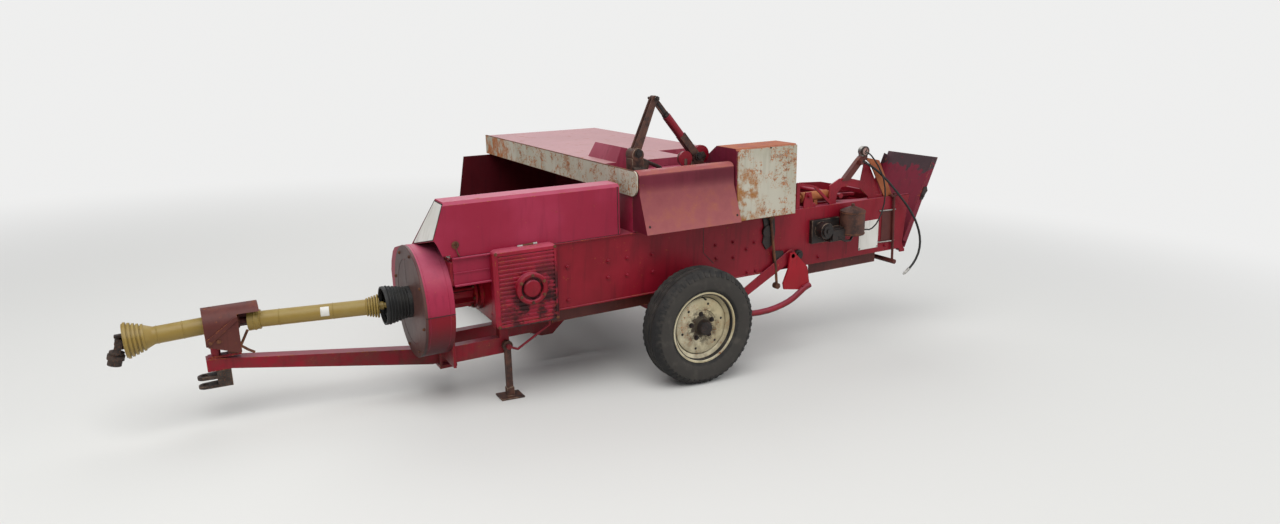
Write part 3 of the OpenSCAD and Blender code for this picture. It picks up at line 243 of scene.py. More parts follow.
def worn_metal(name, dark, light, metallic=0.0, rough=(0.45, 0.8), stain=0.0):
    """Bare or oiled metal: the eye gets dark and light patches, rust specks, rubbed edges and a broken shine.
    """
    material, add = blank_material(name)
    here = add(PLACE)
    patches = add(NOISE, here, cells(60), 5, 0.65)
    grain = add(NOISE, here, cells(6), 5, 0.6)
    colour = add(MIX, add(RAMP, patches, 0.35, 0.65), dark, light)
    colour = add(MIX, add(TIMES, add(RAMP, grain, 0.5, 0.7), stain), colour, "#8A5230")
    colour = add(MIX, add(TIMES, add(WORN), add(RAMP, patches, 0.4, 0.6)), colour, "#8F7A66")
    roughness = add("ShaderNodeMapRange", inputs={"Value": patches, "From Min": 0.3, "From Max": 0.7,
                                                  "To Min": rough[0], "To Max": rough[1]})
    close_material(add, Base_Color=colour, Roughness=roughness, Metallic=metallic,
                   Normal=add(BUMP, 0.5, 0.8 * MM, grain))
    return material


def moulded(name, base, dusty, rough, grain_size, dust, side=0.0):
    """Rubber or plastic from a mould: dusty where it faces up, and paler on a tyre's side walls."""
    material, add = blank_material(name)
    here, facing = add(PLACE), add(FACING)
    patches = add(NOISE, here, cells(70), 6, 0.65)
    grain = add(NOISE, here, cells(grain_size), 4, 0.6)
    lying = add(TIMES, add(RAMP, add(UPWARD, facing), -0.2, 0.9), add(RAMP, patches, 0.35, 0.6))
    shade = add(PLUS, add(TIMES, lying, dust), add(TIMES, add(RAMP, patches, 0.5, 0.75), dust))
    if side:
        across = add("ShaderNodeSeparateXYZ", inputs={0: facing}, out=1)
        shade = add(PLUS, shade, add(TIMES, add(RAMP, add(TIMES, across, across), 0.6, 0.9), side))
    roughness = add("ShaderNodeMapRange", inputs={"Value": shade, "To Min": rough,
                                                  "To Max": min(0.95, rough + 0.3)})
    close_material(add, Base_Color=add(MIX, shade, base, dusty), Roughness=roughness,
                   Normal=add(BUMP, 0.4, 0.5 * MM, grain))
    return material


def height_of(x, z):
    """Height above the floor, in metres, of a place on the chamber's middle plane."""
    return (STANCE @ Vector((x, 0, z))).z


def make_finishes():
    """Every finish of the baler, by the name of the slot or part that it is for."""
    paint = finish_settings()
    crimson, deep_red, cream, ochre = (tuple(c) for c in (paint.crimson, paint.deep_red, paint.cream,
                                                          paint.ochre))
    dusk = "#4A1119"
    weathered = {"faded": "#BDB8A8", "deep": "#7E7868", "rust_share": 0.86, "speck": 0.53, "gloss": 0.5,
                 "pale": "#D0CBBC"}
    return {
        # Sprayed enamel on sheet steel: crimson outside, where the sun chalks and rusts it
        "crimson": enamel("Faded crimson alkyd enamel", crimson, "#A02C48", "#6B1A30", rust_share=0.35),
        # Feeder hood: pale top, partly sun chalking and partly painted sky sheen
        "chalked_and_lit": enamel("Crimson enamel chalked by the sun, with painted sky sheen", "#8E3347", "#A04A5C", dusk, rust_share=0.4,
                           fade_and_sheen=0.8, pale="#B48E8C"),
        "orange_top": enamel("Crimson enamel rusted through on top", "#64192B", "#752338", dusk,
                             top_rust=0.7, fade_and_sheen=0.6, slope=(0.4, 0.8), pale="#AE6B58"),
        # Side shield: dark crimson where upright and pale where it slopes up, painted shade and painted light
        "skirt": enamel("Crimson enamel with painted light on the slope", "#5C1424", "#6C2030", dusk, rust_share=0.3,
                        top_rust=0.22, fade_and_sheen=1.0, slope=(0.1, 0.4), pale="#9C5656"),
        "flywheel_face": enamel("Crimson enamel under road dust", "#4E3330", "#60423C", "#33211E",
                                rust_share=0.3, fade_and_sheen=0.3),
        "gear_red": enamel("Crimson enamel with gear oil on it", "#8C1228", "#A01E36", dusk, gloss=0.36,
                           rust_share=0.4, stain=((-930, -300, 225), 0.36, "#1E1413")),
        # The deeper red on the flywheel cover's lower half is painted shade
        "cover_red": enamel("Crimson enamel, redder in the shade", crimson, "#A02C48", "#6B1A30",
                            rust_share=0.3, lower=(height_of(-1530, 288), "#7E0C1E", 0.0)),
        "chute_red": enamel("Crimson enamel scraped grey by bales", "#3C2B2E", "#54383E", "#2A1C1F",
                            rust_share=0.35, fade_and_sheen=0.4, lower=(height_of(2100, 735), "#72182C", 0.5)),
        "orange": enamel("Bare sheet gone orange", "#96502F", "#AF6A42", "#5E2C1C", rust_share=0.8,
                         fade_and_sheen=0.2, gloss=0.6, pale="#B87E58"),
        # Deep red on the chamber, frame and gearbox, shinier where it lies in the shade
        "deep_red": enamel("Deep red alkyd enamel", deep_red, "#8C1426", "#420A12", gloss=0.38, fade_and_sheen=0.6,
                           rust_share=0.4),
        # The feeder housing's inner walls get painted shade
        "feeder_red": enamel("Deep red alkyd enamel, painted shade within", deep_red, "#8C1426", "#420A12",
                             gloss=0.38, fade_and_sheen=0.6, rust_share=0.4, inside=0.75),
        "bright_red": enamel("Fresh red alkyd enamel", "#960A1C", "#A81426", "#5E0A14", rust_share=0.3,
                             gloss=0.3, fade_and_sheen=0.3),
        "brown_red": enamel("Red enamel burnt brown, painted shade on the rails", "#4A1E1C", "#5E2E28", "#2A1413", rust_share=0.55,
                            fade_and_sheen=0.3, pale="#7E5048"),
        # Cream and white enamel, matt, with rust that shows as orange specks and blotches
        "cream": enamel("Weathered cream alkyd enamel", cream, stain=((345, -345, 720), 0.24, "#9C6836"),
                        **weathered),
        "beam_cream": enamel("Cream alkyd enamel, rusted at the far end", cream,
                             stain=((-356, 2300, 900), 0.85, "#A9683C"), **weathered),
        "rim": enamel("Chalky cream wheel enamel", "#C0B28C", "#D2C8AA", "#85765A", rust_share=0.7,
                      speck=0.59, hub=True, pale="#DDD5BC"),
        "dial": enamel("Dial card browned behind its glass", "#8E6C64", "#A4847C", "#6A4E48", rust_share=0.1,
                       speck=0.7, gloss=0.3, pale="#B09890"),
        "sign": enamel("Blank white enamelled plate", "#D5D2CA", "#E4E2DC", "#A8A296", rust_share=0.1,
                       speck=0.7, pale="#ECEAE4"),
        # Moulded rubber and plastic: soft, wide shine under dust
        "tyre": moulded("Carbon black tyre rubber, dusty", "#171616", "#4C4741", 0.8, 3, 0.4, side=0.45),
        "rubber": moulded("Extruded hose rubber", "#121212", "#3A3732", 0.55, 2, 0.35),
        "guard": moulded("Injection moulded polyethylene, sun faded", ochre, "#9A874E", 0.42, 8, 0.4),
        # Cast, plated and rusted metal without paint
        "iron": worn_metal("Oily grey cast iron", "#231D1B", "#4A3F38", 0.35, stain=0.5),
        "steel": worn_metal("Zinc plated steel, dulled", "#8E8B85", "#B8B6B0", 0.9, (0.3, 0.55)),
        "rust": worn_metal("Mild steel with brown rust", "#46291E", "#75492F", 0.1, (0.75, 0.95), 0.7),
        "greasy": worn_metal("Brown rust under old grease", "#2C1A16", "#5B3A2E", 0.15, stain=0.3),
        "dark": worn_metal("Steel under old grease", "#100D0D", "#2A2220", 0.2, (0.4, 0.7), 0.2),
    }


finishes = {}


def coat(made, finish):
    """Gives an object one finish."""
    if not finishes:
        finishes.update(make_finishes())
    made.data.materials.clear()
    made.data.materials.append(finishes[finish])


# ---- Shapes: one mesh per piece, drawn in millimetres

def turned_to(direction):
    """Rotation from +Z to a direction."""
    return Vector(direction).normalized().to_track_quat("Z", "Y").to_matrix().to_4x4()


def cuboid(bm, lo, hi):
    """A block between two corners."""
    lo, hi = Vector(lo), Vector(hi)
    size = Matrix.Diagonal((*(hi - lo), 1))
    bmesh.ops.create_cube(bm, size=1, matrix=Matrix.Translation((lo + hi) / 2) @ size)


def bar(bm, start, end, r1, r2=None, sides=24):
    """A round bar or cone between two points."""
    start, end = Vector(start), Vector(end)
    place = Matrix.Translation((start + end) / 2) @ turned_to(end - start)
    bmesh.ops.create_cone(bm, cap_ends=True, segments=sides, radius1=r1, radius2=r1 if r2 is None else r2,
                          depth=(end - start).length, matrix=place)


def nut(bm, start, end, radius):
    """A hexagonal bar between two points."""
    bar(bm, start, end, radius, sides=6)


def plate(bm, outline, lo, hi, axis="Y"):
    """A sheet or block cut to an outline, drawn along X, Y or Z."""
    def at(a, b, c):
        return {"X": (c, a, b), "Y": (a, c, b), "Z": (a, b, c)}[axis]
    face = bm.faces.new([bm.verts.new(at(a, b, lo)) for a, b in outline])
    made = bmesh.ops.extrude_face_region(bm, geom=[face])["geom"]
    bmesh.ops.translate(bm, vec=at(0, 0, hi - lo),
                        verts=[v for v in made if isinstance(v, bmesh.types.BMVert)])


def spin(held, steps):
    """Turns a bent line into a shape round Z."""
    bmesh.ops.spin(held, geom=held.verts[:] + held.edges[:], cent=(0, 0, 0), axis=(0, 0, 1), angle=math.tau,
                   steps=steps, use_merge=True, use_duplicate=False)


def turned(bm, profile, centre, axis, steps=48, closed=False):
    """A turned shape: radius and height pairs spun round an axis."""
    held = bmesh.new()
    verts = [held.verts.new((r, 0, h)) for r, h in profile]
    for pair in zip(verts, verts[1:] + verts[:closed]):
        held.edges.new(pair)
    spin(held, steps)
    bmesh.ops.remove_doubles(held, verts=held.verts, dist=0.01)
    bmesh.ops.recalc_face_normals(held, faces=held.faces)
    held.transform(Matrix.Translation(centre) @ turned_to(axis))
    join(bm, held)


def ring(bm, centre, axis, radius, thick, steps=48):
    """A ring of round section."""
    held = bmesh.new()
    bmesh.ops.create_circle(held, segments=12, radius=thick)
    held.transform(Matrix.Translation((radius, 0, 0)) @ Matrix.Rotation(math.pi / 2, 4, "X"))
    spin(held, steps)
    held.transform(Matrix.Translation(centre) @ turned_to(axis))
    join(bm, held)


def join(bm, other):
    """Puts another shape into this one."""
    mesh = bpy.data.meshes.new("joined")
    other.to_mesh(mesh)
    other.free()
    bm.from_mesh(mesh)
    bpy.data.meshes.remove(mesh)


def rod(bm, points, radius, sides=12):
    """A rod bent through points."""
    for a, b in zip(points, points[1:]):
        bar(bm, a, b, radius, sides=sides)
    for point in points[1:-1]:
        bmesh.ops.create_icosphere(bm, subdivisions=2, radius=radius, matrix=Matrix.Translation(point))


def bolts(bm, spots, axis, across=None):
    """Washers, hex heads and the ends of their threads, on a surface that faces along axis."""
    across = across or size_settings().bolt / MM
    axis = Vector(axis).normalized()
    for spot in spots:
        spot = Vector(spot)
        bar(bm, spot - axis, spot + axis * across * 0.13, across * 0.72, sides=20)
        bar(bm, spot + axis * across * 0.12, spot + axis * across * 0.58, across * 0.577, across * 0.53,
            sides=6)
        bar(bm, spot + axis * across * 0.5, spot + axis * across * 0.72, across * 0.27, sides=12)


def soften(bm, edges, width, segments=2):
    """Rounds edges, and tells the paint which faces are worn edges."""
    worn = bm.faces.layers.float.get("worn") or bm.faces.layers.float.new("worn")
    rounded = bmesh.ops.bevel(bm, geom=edges, offset=width, offset_type="OFFSET", affect="EDGES",
                              segments=segments, profile=0.5, material=-1, clamp_overlap=False)["faces"]
    for face in rounded:
        face[worn] = 1.0


def soften_near(bm, y):
    """Rounds the outline of a sheet's near face, which lies beyond y."""
    bm.faces.layers.float.new("worn")
    near = [e for e in bm.edges if e.calc_face_angle(0) > 0.6 and all(v.co.y < y for v in e.verts)]
    soften(bm, near, 2.5, 3)


def soften_sharp(bm, width):
    """Rounds the edges worth it: sharp, and long beside their neighbours."""
    bm.faces.layers.float.new("worn")
    limit = math.radians(28)
    soften(bm, [e for e in bm.edges if len(e.link_faces) == 2 and e.calc_face_angle(0) > limit
                and all(other.calc_length() > 2.2 * width for v in e.verts for other in v.link_edges)], width)


def circle(centre, radius, count, start=0.0):
    """Places spread evenly round a circle, as pairs."""
    angles = [start + math.tau * i / count for i in range(count)]
    return [(centre[0] + radius * math.cos(a), centre[1] + radius * math.sin(a)) for a in angles]


def arc(centre, radius, start, end, steps=6):
    """Points on an arc between two angles in degrees."""
    angles = [math.radians(start + (end - start) * i / steps) for i in range(steps + 1)]
    return [(centre[0] + radius * math.cos(a), centre[1] + radius * math.sin(a)) for a in angles]


def settle(bm, name, finish, body="baler", place=STANCE, stands_for=(), angle=32):
    """Turns a shape into a finished piece: in its place, coated, and riding on its body."""
    bmesh.ops.recalc_face_normals(bm, faces=bm.faces)
    bm.transform(place)
    mesh = bpy.data.meshes.new(name)
    bm.to_mesh(mesh)
    bm.free()
    for polygon in mesh.polygons:
        polygon.use_smooth = True
    mesh.set_sharp_from_angle(angle=math.radians(angle))
    made = bpy.data.objects.new(name, mesh)
    bpy.context.scene.collection.objects.link(made)
    weigh = made.modifiers.new("Flat faces keep their shading", "WEIGHTED_NORMAL")
    weigh.keep_sharp = True
    coat(made, finish)
    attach(made, body)
    if stands_for:
        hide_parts(*stands_for)
    return made


def piece(name, finish, *forms, **more):
    """A finished piece made of forms, each a shape's function and its values."""
    bm = bmesh.new()
    for form, *values in forms:
        form(bm, *values)
    return settle(bm, name, finish, **more)


NODE_BODY = {node: body for body, nodes in frame["record"]["behaviour"]["bodies"].items() for node in nodes}


def dress(node, finish, width):
    """A merged copy of a CAD node with its edges rounded and worn, which stands for the node."""
    bm = bmesh.new()
    bm.from_mesh(frame["nodes"][node].data)
    bmesh.ops.remove_doubles(bm, verts=bm.verts, dist=0.03 * MM)
    bmesh.ops.dissolve_limit(bm, angle_limit=math.radians(0.6), verts=bm.verts, edges=bm.edges)
    if width:
        soften_sharp(bm, width * MM)
    settle(bm, "dressed_" + node, finish, NODE_BODY[node], Matrix.Identity(4), (node,))


# ---- Operators

class BALER_OT_camera(bpy.types.Operator):
    """Sets the camera where the machine is seen from its left and front"""

    bl_idname = "baler.camera"
    bl_label = "Camera"

    def execute(self, context):
        # Fitted to the photograph by the square edges of the chamber, hood and drawbar
        data = bpy.data.cameras.new("Camera")
        data.lens = 23.342
        data.sensor_width = 36
        data.clip_end = 500
        camera = bpy.data.objects.new("Camera", data)
        camera.location = STANCE @ Vector((-2659, -4441, 1661))
        camera.rotation_euler = [math.radians(a) for a in (76.8032, -1.5742, -29.5791)]
        context.scene.collection.objects.link(camera)
        context.scene.camera = camera
        return {"FINISHED"}


# The loose hose's middle line from its root on the gauge block, as the solid has it
HOSE_ROOT = (1496.8, -246, 842.8)
HOSE_FALL = [(0, 0, 0), (40, -1, -18), (76, -2, -38), (114, -4, -60), (148, -6, -84), (182, -8, -110),
             (216, -12, -136), (246, -16, -164), (278, -20, -192), (308, -25, -222), (338, -30, -252),
             (366, -36, -282), (396, -42, -314), (422, -48, -346), (446, -54, -380), (468, -62, -416),
             (486, -68, -454), (504, -72, -494), (516, -76, -536), (522, -79, -578), (520, -82, -620),
             (510, -84, -660), (492, -84, -700), (466, -84, -736), (434, -84, -766), (400, -84, -790)]


def hose_points():
    """The hose's middle line in millimetres of the scene."""
    root = STANCE @ Vector(HOSE_ROOT) / MM
    return [root + Vector(step) for step in HOSE_FALL]


class BALER_OT_hoses(bpy.types.Operator):
    """Makes the loose hydraulic hose with its end fitting"""

    bl_idname = "baler.hoses"
    bl_label = "Hoses"

    def execute(self, context):
        radius = size_settings().hose / 2
        route = hose_points()
        curve = bpy.data.curves.new("tension_hose_run", "CURVE")
        curve.dimensions = "3D"
        curve.bevel_depth = radius
        curve.bevel_resolution = 5
        curve.use_fill_caps = True
        spline = curve.splines.new("POLY")
        spline.points.add(len(route) - 1)
        for point, at in zip(spline.points, route):
            point.co = (*(at * MM), 1)
        spline.use_smooth = True
        hose = bpy.data.objects.new("loose_hose", curve)
        context.scene.collection.objects.link(hose)
        coat(hose, "rubber")
        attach(hose, "baler")
        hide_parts("tension_hose")
        # Crimped ferrule and hex coupling on the free end
        bm = bmesh.new()
        end, before = route[-1], route[-2]
        along = (end - before).normalized()
        bar(bm, end - along * 36, end - along * 4, 10.2, sides=20)
        for i in range(3):
            bar(bm, end - along * (34 - i * 10), end - along * (30 - i * 10), 11.2, sides=20)
        nut(bm, end - along * 5, end + along * 12, 11)
        bar(bm, end + along * 12, end + along * 26, 7.5, 6.5, sides=16)
        fitting = settle(bm, "hose_end_fitting", "steel", place=Matrix.Scale(MM, 4))
        return {"FINISHED"}


# The chassis rails take the dark brown_red as painted shade under the chamber
PLAIN = {"chamber": ("deep_red", 1.5), "chassis_rails": ("brown_red", 2), "front_frame": ("deep_red", 2),
         "axle": ("deep_red", 2), "tyre_left": ("tyre", 0), "tyre_right": ("tyre", 0),
         "gearbox": ("bright_red", 3), "gearbox_cover": ("gear_red", 1.5), "flywheel": ("iron", 3),
         "flywheel_cover": ("cover_red", 1.5), "plunger_hood": ("crimson", 1.5), "plunger": ("iron", 2),
         "side_shield": ("skirt", 1.5), "feeder_deck": ("crimson", 1.5),
         "feeder_housing": ("feeder_red", 1.5), "feeder_hood": ("chalked_and_lit", 1.5),
         "feeder_arms": ("greasy", 2), "knotters": ("iron", 1.5), "knotter_shield": ("orange_top", 1.5),
         "needle_yoke": ("deep_red", 1.5), "tension_rails": ("deep_red", 1.5), "tension_pump": ("dark", 2),
         "tension_gauge": ("steel", 1), "gauge_hose": ("rubber", 0), "blank_plate": ("sign", 0.8),
         "chute": ("chute_red", 1.5), "drawbar": ("deep_red", 3), "hitch_clevis": ("iron", 2),
         "stand": ("greasy", 2), "pto_shield": ("brown_red", 1), "pto_front_guard": ("guard", 1),
         "pto_yoke": ("iron", 1.5), "pto_end_yoke": ("iron", 1.5), "pto_rear_guard": ("guard", 1),
         "pto_bell": ("rubber", 2), "pickup_frame": ("deep_red", 2), "pickup_strippers": ("deep_red", 0),
         "pickup_reel": ("steel", 0), "windguard": ("deep_red", 1.5), "gauge_wheel": ("tyre", 3)}


class BALER_OT_dress(bpy.types.Operator):
    """Rounds and coats the solids that keep their own shape"""

    bl_idname = "baler.dress"
    bl_label = "Painted parts"

    def execute(self, context):
        for node, (finish, width) in PLAIN.items():
            dress(node, finish, width)
        return {"FINISHED"}


class BALER_OT_covers(bpy.types.Operator):
    """Adds the hood's panel and catches, the flywheel cover's seams and the gearbox cap"""

    bl_idname = "baler.covers"
    bl_label = "Hood and covers"

    def execute(self, context):
        # Blank panel in a dark border on the hood's front, which leans 344 mm back in a metre
        lean = math.atan(0.344)
        front = STANCE @ Matrix.Translation((-1466, 0, 885)) @ Matrix.Rotation(lean, 4, "Y")
        piece("hood_front_border", "dark",
              (plate, [(-236, -8), (-92, -8), (82, -272), (79, -283), (-236, -205)], -2.5, 0.5, "X"),
              place=front)
        piece("hood_front_panel", "sign",
              (plate, [(-231, -14), (-104, -14), (62, -268), (60, -276), (-231, -203)], -5, -2, "X"),
              place=front)
        # Dark gap along the hood's foot and rear end, and the ring clip
        piece("hood_gap", "dark", (cuboid, (-1448, -240.8, 584), (-432, -236, 588)),
              (cuboid, (-446, -240.7, 590), (-441, -236, 868)))
        piece("hood_clip", "rust", (ring, (-1420, -244, 655), (0, 1, 0), 17, 3.5, 32),
              (ring, (-1420, -247, 655), (0, 1, 0), 11, 3, 32),
              (rod, [(-1420, -246, 638), (-1408, -248, 602), (-1400, -244, 583)], 3.5),
              (cuboid, (-1432, -243, 640), (-1408, -239, 670)))
        # Over-centre latch
        piece("hood_latch_ends", "steel", (bar, (-1078, -250, 600), (-1048, -250, 601), 9),
              (bar, (-985, -250, 605), (-962, -250, 606), 9))
        piece("hood_latch_bar", "rust", (bar, (-1050, -249, 601), (-983, -249, 605), 8),
              (cuboid, (-1070, -252, 590), (-970, -239, 596)))
        # Flywheel cover: lip, dusty face with its split line, bolts, seam and beads, and the brace below
        piece("flywheel_cover_lip", "flywheel_face",
              (turned, [(238, -1620.5), (313.5, -1620.5), (315.6, -1618), (315.6, -1606), (313.5, -1606),
                        (238, -1617)], (0, *SHAFT), (1, 0, 0), 96, True))
        piece("flywheel_cover_face", "flywheel_face", (plate, circle(SHAFT, 236, 64), -1619.5, -1616, "X"))
        piece("flywheel_cover_split", "dark", (cuboid, (-1620.2, 66, 402), (-1619, 68, 606)))
        piece("flywheel_cover_bolts", "rust",
              (bolts, [(-1620, y, z) for y, z in circle(SHAFT, 286, 8, 0.3)], (-1, 0, 0), 14))
        piece("flywheel_cover_seam", "dark", (cuboid, (-1617, -286.2, 287), (-1457, -283.5, 291)))
        piece("cover_brace", "deep_red",
              (rod, [(-896, -236, 156), (-904, -236, 116), (-1092, -206, -6), (-1140, -197, 12)], 7),
              (bar, (-1140, -204, 12), (-1140, -185.5, 12), 15))
        piece("flywheel_cover_beads", "crimson",
              *[(ring, (x, *SHAFT), (1, 0, 0), 315, 1.6, 96) for x in (-1594, -1484)])
        # Gearbox cover: cap ring, dome and bolts
        cap = (-1031, -326, 372)
        piece("gear_cap_ring", "deep_red",
              (turned, [(66, 0), (66, 5), (72, 9), (84, 9), (91, 4), (91, -16), (88, -16)], cap,
               (0, -1, 0), 64))
        piece("gear_cap_dome", "deep_red",
              (turned, [(0, 12), (18, 12), (26, 9), (44, 6), (50, 0), (50, -14)], cap, (0, -1, 0), 64))
        piece("gear_cover_bolts", "rust",
              (bolts, [(x, -335, z) for x, z in circle((cap[0], cap[2]), 77, 6, 0.5)], (0, -1, 0), 13),
              (bolts, [(x, -300.5, z) for x in (-1222, -876) for z in (172, 586)], (0, -1, 0), 13))
        # Channel flanges between the covers, and the bearing's bolts
        piece("channel_flanges", "crimson", (cuboid, (-1441, -262, 580), (-872, -239, 586)),
              (cuboid, (-1441, -244, 436), (-1236, -240.3, 581)),
              (cuboid, (-1441, -249, 498), (-1236, -243, 504)),
              (cuboid, (-1441, -262, 430), (-1236, -239, 437)))
        piece("bearing_bolts", "rust",
              (bolts, [(-1441, y, z) for y, z in circle(SHAFT, 62, 6, 0.5)], (1, 0, 0), 16),
              (bolts, [(-1273, y, z) for y, z in circle(SHAFT, 84, 8, 0.2)], (-1, 0, 0), 14))
        return {"FINISHED"}


class BALER_OT_shields(bpy.types.Operator):
    """Adds the knotter shield's cream side and the details of the chamber's near side"""

    bl_idname = "baler.shields"
    bl_label = "Shields and chamber side"

    def execute(self, context):
        top, low, front, rear = 1031, 588, 337, 798
        piece("knotter_shield_side", "cream",
              (plate, [(front, low), *arc((front + 34, top - 34), 34, 180, 90), (rear, top), (rear, low)],
               -345, -339.6), (soften_near, -344), body="knotter_lid")
        piece("knotter_shield_hook", "dark",
              (bar, (front + 250, -339, top - 3), (front + 250, -348, top - 4), 5), body="knotter_lid")
        # Chamber: seams and bolts
        piece("chamber_seams", "dark", (cuboid, (152, -241, 392), (156, -239, 560)),
              (plate, [(152, 393), (156, 393), (235, 314), (231, 310)], -241, -239),
              (cuboid, (-858, -241, 474), (-854, -239, 560)), (cuboid, (1350, -241, 214), (1353, -239, 330)))
        spots = [(-516, 437), (-388, 438), (-519, 336), (-391, 332), (-217, 435), (-213, 325), (249, 429),
                 (385, 431), (552, 407), (490, 370), (255, 340), (388, 329), (497, 214), (568, 214),
                 (-780, 440), (-780, 240), (1100, 232), (1400, 520), (1720, 232)]
        piece("chamber_bolts", "deep_red",
              *[(bolts, [(x, y, z) for x, z in spots if way < 0 or x > 300], (0, way, 0))
                for y, way in ((-240, -1), (240, 1))])
        # Side shield's bolts
        piece("side_shield_bolts", "dark",
              (bolts, [(-318, -388, 640), (300, -388, 640)], (0, -0.93, 0.37), 15))
        # Feeder beam: a plate with round corners at its near end, its lower flange and rusty edge
        piece("feeder_beam_plate", "beam_cream",
              (plate, [*arc((-289, 923), 34, 90, 180), *arc((-263, 867), 60, 180, 270),
                       (2240, 807), (2240, 957)], -362, -350, "X"),
              (cuboid, (-351, 106, 807), (-305, 2190, 815)), (soften_sharp, 2),
              stands_for=("feeder_beam",))
        piece("feeder_beam_edge", "rust", (cuboid, (-362.6, -286, 955), (-349, 2239, 958)))
        return {"FINISHED"}


class BALER_OT_linkage(bpy.types.Operator):
    """Adds the feeder linkage's rods, pins and pulley, and the needle rods below"""

    bl_idname = "baler.linkage"
    bl_label = "Linkages"

    def execute(self, context):
        # Rear leg: turnbuckle tube and fork, with the linkage's pins and foot links
        piece("linkage_rear_tube", "deep_red", (bar, (-40, -130, 1243), (70, -130, 1108), 26))
        fork = [(44, 1108), (76, 1140), (182, 1010), (150, 976)]
        piece("linkage_rear_fork", "greasy", (plate, fork, -156, -148), (plate, fork, -112, -104))
        piece("linkage_pins", "dark", (bar, (-104, -130, 1322), (-36, -130, 1239), 13),
              (nut, (-52, -130, 1258), (-36, -130, 1238), 24), (nut, (64, -130, 1115), (80, -130, 1095), 24),
              *[(shape, (x, near, z), (x, far, z), radius * share)
                for x, z, radius in ((-128, 1352, 12), (165, 990, 20), (-262, 1040, 22))
                for shape, near, far, share in ((bar, -186, -74, 0.7), (nut, -178, -168, 1.3))])
        piece("linkage_foot_links", "iron",
              (rod, [(-262, -90, 1020), (-180, -84, 985), (-60, -80, 930), (-40, -80, 903)], 12),
              (bar, (-215, -150, 960), (-215, -100, 960), 38),
              (bar, (-300, -176, 940), (-230, -176, 940), 22))
        # Idler pulley behind the shield
        piece("idler_pulley", "deep_red",
              (turned, [(0, -14), (40, -14), (44, -12), (58, -12), (58, -6), (46, -3), (46, 3), (58, 6),
                        (58, 12), (44, 12), (40, 14), (0, 14)], (250, -60, 985), (0, 1, 0), 48))
        piece("linkage_knob", "deep_red", (bar, (60, -189, 985), (60, -158, 985), 46.5, 44))
        piece("idler_bracket", "iron",
              (plate, [(150, 905), (236, 905), (282, 975), (262, 1004), (236, 1000)], -84, -75),
              (nut, (250, -92, 985), (250, -38, 985), 14))
        # Needle trip rod, its cranks and the dark castings behind it
        piece("needle_trip_rod", "rust",
              (rod, [(662, -262, 584), (672, -262, 500), (690, -262, 370), (716, -262, 205),
                     (726, -262, 96)], 9, 14), (bar, (726, -276, 92), (726, -239, 92), 20),
              (bar, (664, -274, 560), (664, -239, 560), 16))
        piece("needle_castings", "dark",
              (plate, [(606, 584), (700, 584), (712, 470), (700, 380), (640, 350), (610, 400), (628, 480)],
               -252, -240),
              (plate, [(700, 330), (780, 322), (800, 250), (760, 214), (706, 226)], -254, -240),
              (bar, (910, -262, 277), (910, -239, 277), 34), (nut, (910, -272, 277), (910, -239, 277), 20),
              (bar, (650, -258, 470), (650, -239, 470), 40))
        # Needle bracket's plates, and the tube that guards the needles behind the wheel
        sides = ((-286, -274, -240), (286, 274, 240))
        piece("needle_bracket_plates", "bright_red",
              *[(bar, (840, near, 285), (840, inner, 285), 15) for near, far, inner in sides],
              *[(plate, [(816, 307), (852, 309), (966, 192), (990, 60), (968, 32), (770, 66), (762, 108),
                         (802, 200)], near, far) for near, far, inner in sides],
              stands_for=("needle_bracket",))
        piece("needle_guard_tube", "deep_red",
              (rod, [(x, -291, z) for x, z in ((985, 66), (940, 50), (902, 26), (852, -4), (805, -24),
                                               (755, -38), (695, -50), (630, -57), (560, -58), (470, -52),
                                               (360, -40), (200, -26), (50, -14))], 20),
              (cuboid, (920, -297, 40), (966, -280, 70)), (cuboid, (45, -315, -38), (59, -273, 10)),
              *[(cuboid, (916, low, 150), (962, high, 191)) for low, high in ((-275, -200), (200, 275))])
        return {"FINISHED"}


